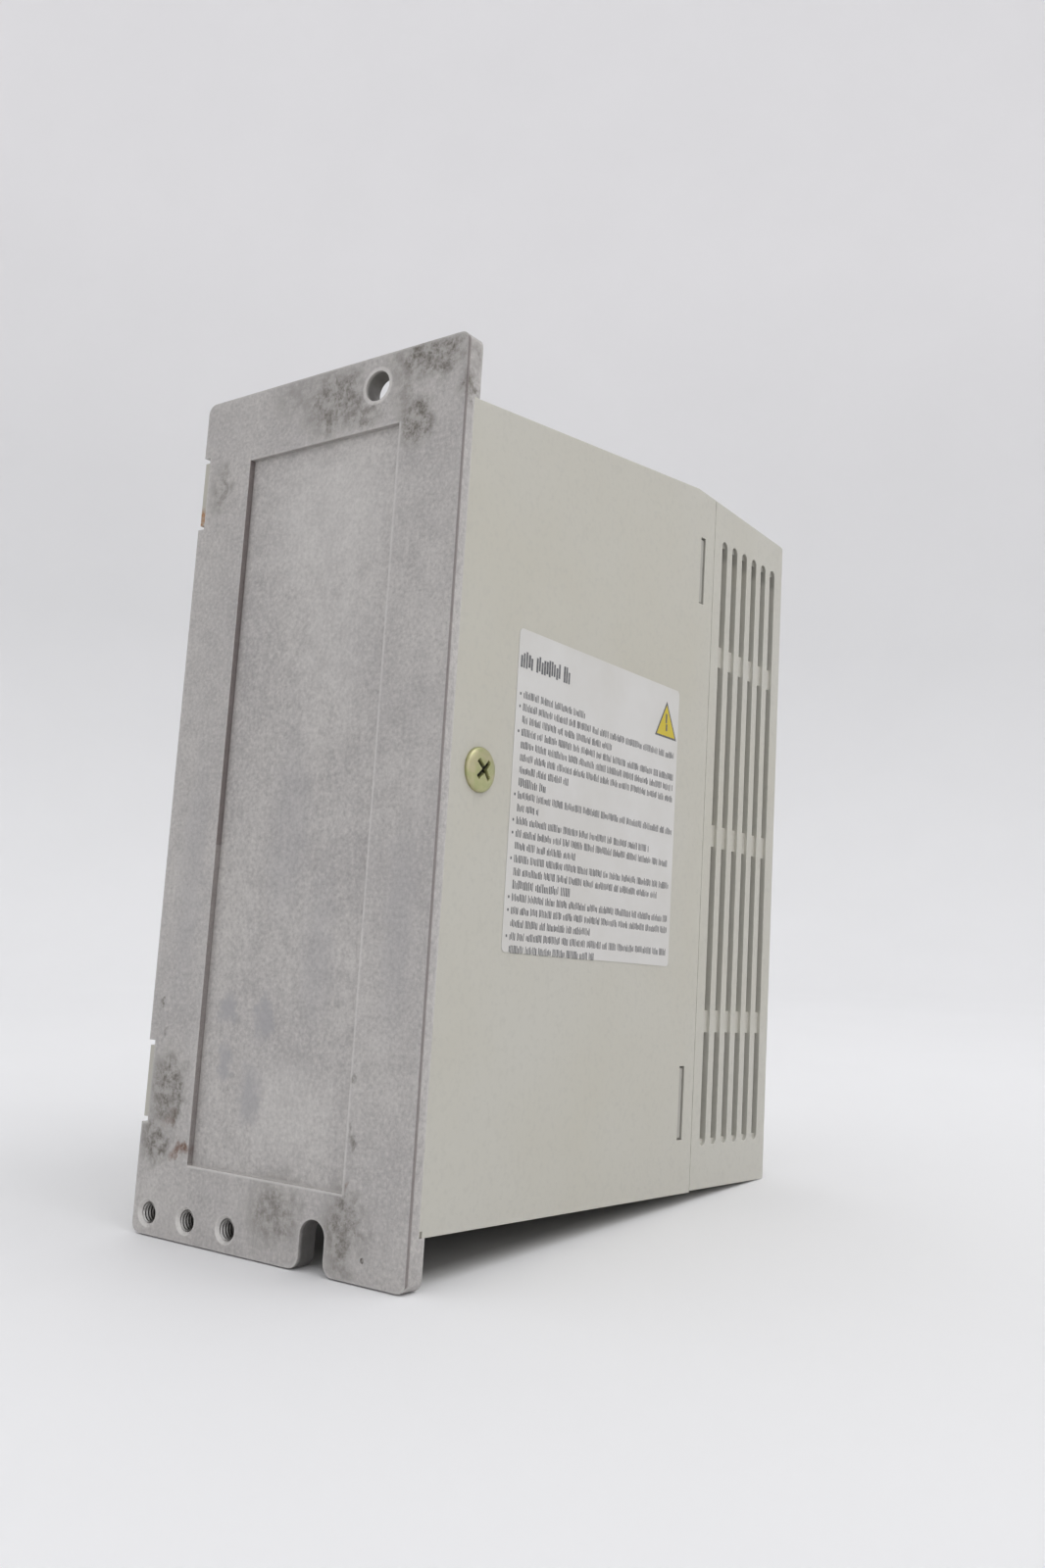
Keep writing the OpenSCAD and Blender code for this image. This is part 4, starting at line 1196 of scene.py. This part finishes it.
def board_mask(name, colour, track):
    """Solder mask: paler bands where the copper runs beneath, running across or up the board."""
    material, shader, where = new_material(
        name, Specular_IOR_Level=0.55, Coat_Weight=0.3, Coat_Roughness=0.12
    )
    choice = ramp(noise(where, 55.0, 1.0), [(0.495, 0.0), (0.505, 1.0)])
    runs, cross = wave(where, 190.0, "X"), wave(where, 150.0, "Z")
    laid = add_node(material.node_tree, "ShaderNodeMix", {"Factor": choice, 2: runs, 3: cross})
    copper = ramp(laid.outputs[0], [(0.60, 0.0), (0.66, 1.0)])
    feed(shader, "Base Color", blend_colours(copper, colour, track))
    feed(shader, "Roughness", remap(noise(where, 1400.0, 2.0), wanted=(0.24, 0.40)))
    bumped(shader, copper, 0.03, 0.5)
    return material


finished(board_mask("control_mask", (0.012, 0.085, 0.035), (0.03, 0.16, 0.06)), "control_board")
finished(board_mask("power_mask", (0.016, 0.10, 0.04), (0.04, 0.18, 0.065)), "power_board")
board_front = span("control_board")[1][1]
TAKEN = (((-20, 20), (53, 121)), ((-25, 25), (14, 49)), ((-21, 14), (127, 156)), ((12, 22), (140, 150)),
         ((-31, -22), (13, 24)), ((22, 31), (13, 24)), ((-31, -22), (142, 158)), ((22, 31), (142, 158)))
grid = np.meshgrid(np.arange(-28, 29, 3.2), np.arange(18, 156, 2.8), indexing="ij")
across, upward = np.stack(grid, 2).reshape(-1, 2).T
free = np.ones(len(across), bool)
for (left, right), (low, high) in TAKEN:
    free &= (across < left - 1) | (across > right + 1) | (upward < low - 1) | (upward > high + 1)
free &= draw.random(len(across)) < 0.75
rows = np.stack([across[free], upward[free]], 1)
sizes = np.array([(0.6, 0.5), (1.0, 0.65), (0.8, 0.8)])[draw.integers(0, 3, len(rows))]
chips = [(about(x, w), (board_front, board_front + 0.7), about(z, h)) for (x, z), (w, h) in zip(rows, sizes)]
ceramic = moulded_plastic(
    "ceramic_chip", (0.30, 0.22, 0.14), (0.08, 0.08, 0.08), roughness=0.4, relief=0.005
)
settled(blocks("small_parts", chips), ceramic)
caps = [(about(x + s * w, 0.12), (board_front, board_front + 0.74), (z - h - 0.03, z + h + 0.03))
        for (x, z), (w, h) in zip(rows, sizes) for s in (-1, 1)]
settled(blocks("small_part_ends", caps), tinned)


# Processor chips
# Three flat packs on the control board's rear face, with rows of gull-wing leads.
LEAD_PITCH = 0.8
LEAD_DEPTHS = (111.7, 112.0)
epoxy_black = moulded_plastic(
    "epoxy_black", (0.03, 0.03, 0.032), (0.045, 0.045, 0.045), roughness=0.5, relief=0.012
)
reshaped("processor_chips", 0.2, epoxy_black)
CHIPS = (((-14, 14), (88, 116)), ((-22, -8), (62, 76)), ((6, 20), (124, 134)))
leads = []
for (x0, x1), (z0, z1) in CHIPS:
    for x in np.arange(x0 + 1.2, x1 - 1.0, LEAD_PITCH):
        leads += [(about(x, 0.15), LEAD_DEPTHS, about(z, 0.7)) for z in (z0 - 0.6, z1 + 0.6)]
    for z in np.arange(z0 + 1.2, z1 - 1.0, LEAD_PITCH):
        leads += [(about(x, 0.7), LEAD_DEPTHS, about(z, 0.15)) for x in (x0 - 0.6, x1 + 0.6)]
settled(blocks("processor_leads", leads), tinned)


# Power semiconductors
# The transistor module and the bridge rectifier are moulded in black epoxy. They are clamped to
# the casting's pedestals over pale silicone pads, and tinned pins join them to the power board.
for node in ("power_module", "bridge_rectifier"):
    reshaped(node, 0.25, epoxy_black)
MODULE_FRONT = 27.0
RECTIFIER_FRONT = 25.0
MODULE_PIN_Z = (71.98, 72.82)
MODULE_PIN_PITCH = 4
board_back = span("power_board")[1][0] - 0.02
pins = []
for x in (-18.5, 18.5):
    for up in range(0, 10 * MODULE_PIN_PITCH, MODULE_PIN_PITCH):
        heights = (MODULE_PIN_Z[0] + up, MODULE_PIN_Z[1] + up)
        pins.append((about(x, 0.42), (MODULE_FRONT - 0.1, board_back), heights))
for x in (-10.5, -3.5, 3.5, 10.5):
    pins.append((about(x, 0.42), (RECTIFIER_FRONT - 0.1, board_back), (128.38, 129.62)))
settled(blocks("module_pins", pins), tinned)
finished(printed_film("pad_silicone", (0.62, 0.63, 0.66), (0.55, 0.56, 0.60), 0.55), "thermal_pads")


def small_screw(x, z, front, length, turn):
    """An M3 pan-head screw that faces the front."""
    return turned_screw(
        (x, -front, z), (0, -1, 0), (2.75, 0.6), HEAD_HEIGHT, (1.6, 0.9), (1.45, length), turn, 48
    )


places = ((70.5, MODULE_FRONT, 13.0), (111.5, MODULE_FRONT, 13.0), (136.0, RECTIFIER_FRONT, 11.0))
heads = [small_screw(0, z, front, length, 0.3 * z) for z, front, length in places]
settled(sewn("module_screws_turned", *joined(heads)), plated, node="module_screws")


# Smoothing capacitors
# Two aluminium cans in dark blue shrink sleeve: a rolled groove near the front end, the sleeve's
# lip turned over it, and a bare vented top with a pressed cross.
can_back, can_front = span("smoothing_capacitors")[1]
CAN_RADIUS = 12.5
CAN_PLACES = ((15.0, 102.0), (15.0, 130.0))
GROOVE_DEPTH = 0.9
GROOVE_BACK = 4.5
VENT_DEPTH = 0.3
groove = []
for depth in np.linspace(can_front - 1.2, can_front - 8, 24):
    sunk = GROOVE_DEPTH * math.exp(-((depth - can_front + GROOVE_BACK) / 0.8) ** 2)
    groove.append((CAN_RADIUS - sunk, depth))
lip = [(CAN_RADIUS - 2.6, can_front - 0.25), (CAN_RADIUS - 2.2, can_front)] + rim(CAN_RADIUS, can_front, 1.0)
foot = [(CAN_RADIUS, can_back + 0.6), (CAN_RADIUS - 0.6, can_back), (0, can_back)]
cans = [turned_shape(place, lip + groove + foot, 64) for place in CAN_PLACES]
sleeve, shader, where = new_material(
    "capacitor_sleeve", Specular_IOR_Level=0.5, Coat_Weight=0.25, Coat_Roughness=0.2
)
ripple = noise(where, 240.0, 3.0)
toned = ramp(ripple, [(0.35, (0.018, 0.026, 0.075)), (0.65, (0.028, 0.038, 0.10))])
stripe = ramp(remap(split(where)["X"], (3.0 * MM, 5.5 * MM)), [(0.0, 1.0), (0.06, 1.0), (0.08, 0.0)])
feed(shader, "Base Color", blend_colours(stripe, toned, (0.55, 0.56, 0.60)))
feed(shader, "Roughness", remap(ripple, wanted=(0.24, 0.40)))
bumped(shader, ripple, 0.05, 0.4)
settled(sewn("capacitor_cans", *joined(cans)), sleeve, node="smoothing_capacitors")


def vented_top(x, z, radius, depth, rings=16, segments=72):
    """A can's top at depth(r) = depth, less VENT_DEPTH along the vent's two crossed lines."""
    angle = np.linspace(0, 2 * math.pi, segments, endpoint=False)
    r, a = np.meshgrid(np.linspace(0, radius, rings), angle, indexing="ij")
    u, v = r * np.cos(a), r * np.sin(a)
    either = 1 - smooth_step(np.minimum(np.abs(u), np.abs(v)), 0.25, 0.6)
    line = either * (1 - smooth_step(r, radius * 0.7, radius * 0.8))
    points = np.stack([x + u, -(depth - VENT_DEPTH * line), z + v], 2).reshape(-1, 3) * MM
    return points, grid_faces(rings, segments, closed=True)


tops = [vented_top(x, z, CAN_RADIUS - 2.4, can_front - 0.22) for x, z in CAN_PLACES]
aluminium = bare_metal("drawn_aluminium", (0.78, 0.78, 0.78), (0.60, 0.60, 0.61), roughness=(0.3, 0.45))
settled(sewn("capacitor_tops", *joined(tops)), aluminium)


# Power board parts
# The inrush relay, the taped switching transformer, the current sensors and the cast cement
# brake resistor stand soldered on the power board.
def rough_body(name, colour, dark, scale, relief, roughness):
    """Cast, sintered or taped material: two tones in coarse grains, dull."""
    material, shader, where = new_material(name, Specular_IOR_Level=0.35)
    grains = noise(where, scale, 5.0, 0.65)
    feed(shader, "Base Color", blend_colours(ramp(grains, [(0.36, 1.0), (0.66, 0.0)]), colour, dark))
    feed(shader, "Roughness", remap(grains, wanted=about(roughness, 0.1)))
    bumped(shader, grains, relief, 0.6)
    return material


relay_plastic = moulded_plastic("relay_plastic", (0.50, 0.45, 0.30), (0.46, 0.40, 0.25), roughness=0.36)
taped_core = rough_body("transformer_core", (0.045, 0.042, 0.04), (0.022, 0.02, 0.02), 700.0, 0.05, 0.6)
cement = rough_body("cement_body", (0.64, 0.62, 0.56), (0.50, 0.48, 0.43), 500.0, 0.12, 0.75)
brass = bare_metal(
    "turned_brass", (0.72, 0.54, 0.24), (0.55, 0.40, 0.17), roughness=(0.25, 0.4), stretch=(1.0, 6.0, 1.0)
)
for node, radius, material, slot in (
    ("inrush_relay", 0.6, relay_plastic, "relay_plastic"),
    ("switching_transformer", 0.4, taped_core, "transformer_core"),
    ("current_sensors", 0.5, epoxy_black, "component_black"),
    ("brake_resistor", 0.7, cement, "cement_body"),
    ("ribbon_headers", 0.25, black_plastic, "component_black"),
    ("bus_bars", 0.15, tinned, "tinned_copper"),
    ("board_spacers", 0.2, brass, "brass_hex"),
    ("board_pillars", 0.2, brass, "brass_hex"),
):
    reshaped(node, radius, material)


# Line choke
# Enamelled copper wire wound tightly round a ferrite ring, so the ring's surface is all wire.
CHOKE_X = -16.0
CHOKE_Z = 97.0
CHOKE_TURNS = 44
RING_RADIUS = 8.25
RING_HALF_WIDTH = 3.25
WIRE_DEPTH = 0.45
choke_back, choke_front = span("line_choke")[1]
round_ring = np.linspace(0, 2 * math.pi, CHOKE_TURNS * 8, endpoint=False)
angle, section = np.meshgrid(round_ring, np.linspace(0, 2 * math.pi, 24, endpoint=False), indexing="ij")
sunk = WIRE_DEPTH * (1 - np.abs(np.sin(angle * CHOKE_TURNS / 2)) ** 0.6)
out, forward = np.cos(section), np.sin(section)
radius = RING_RADIUS + (RING_HALF_WIDTH - sunk) * np.sign(out) * np.abs(out) ** 0.6
half_depth = (choke_front - choke_back) / 2 - sunk
depth = (choke_back + choke_front) / 2 + half_depth * np.sign(forward) * np.abs(forward) ** 0.6
points = np.stack([CHOKE_X + radius * np.cos(angle), -depth, CHOKE_Z + radius * np.sin(angle)], 2)
points = np.concatenate([points, points[:1]]).reshape(-1, 3) * MM
winding = sewn("choke_winding", points, grid_faces(len(angle) + 1, 24, closed=True))
enamelled = bare_metal("enamelled_copper", (0.55, 0.20, 0.07), (0.36, 0.12, 0.045), roughness=(0.2, 0.34))
settled(winding, enamelled, node="line_choke")


# Line fuse
# A ceramic fuse between two plated caps, held in tinplate clips.
reshaped("line_fuse", 0.12, plated)
FUSE_DEPTH = 37.6
FUSE_Z = 63.2
fuse_x, _ = middle_of("line_fuse")
tube = turned_profile([(2.53, -7.5), (2.56, -7.4), (2.56, 7.4), (2.53, 7.5)], 40)
tube = np.stack([fuse_x + tube[:, 2], tube[:, 0] - FUSE_DEPTH, FUSE_Z + tube[:, 1]], 1) * MM
fuse_tube = sewn("fuse_tube", tube, grid_faces(4, 40, closed=True))
settled(fuse_tube, bpy.data.materials["cement_body"])


# Board screws
# Plated pan-head screws through the control board into the brass pillars.
screws_back, screws_front = span("board_screws")[1]
under_head = screws_front - HEAD_HEIGHT
places = ((-27.0, 18.0), (27.0, 18.0), (-27.0, 148.0), (27.0, 148.0))
heads = [small_screw(x, z, under_head, under_head - screws_back, 0.2 * z + 0.1 * x) for x, z in places]
settled(sewn("board_screws_turned", *joined(heads)), plated, node="board_screws")


# Insulation sheet and ribbon cable
# A sheet of milky polyester film over the fins, and a grey flat cable whose cores show as ridges.
finished(printed_film("sheet_film", (0.66, 0.63, 0.50), (0.60, 0.56, 0.42), 0.36), "insulation_sheet")
ribbon, shader, where = new_material("ribbon_grey", Specular_IOR_Level=0.4)
cores = wave(stretched(where, (1.0, 1.0, 8.0)), 31.0, "Z")
feed(shader, "Base Color", ramp(cores, [(0.0, (0.17, 0.17, 0.18)), (0.5, (0.25, 0.25, 0.26))]))
feed(shader, "Roughness", remap(cores, wanted=(0.55, 0.42)))
bumped(shader, cores, 0.3, 0.8)
finished(ribbon, "ribbon_cable")
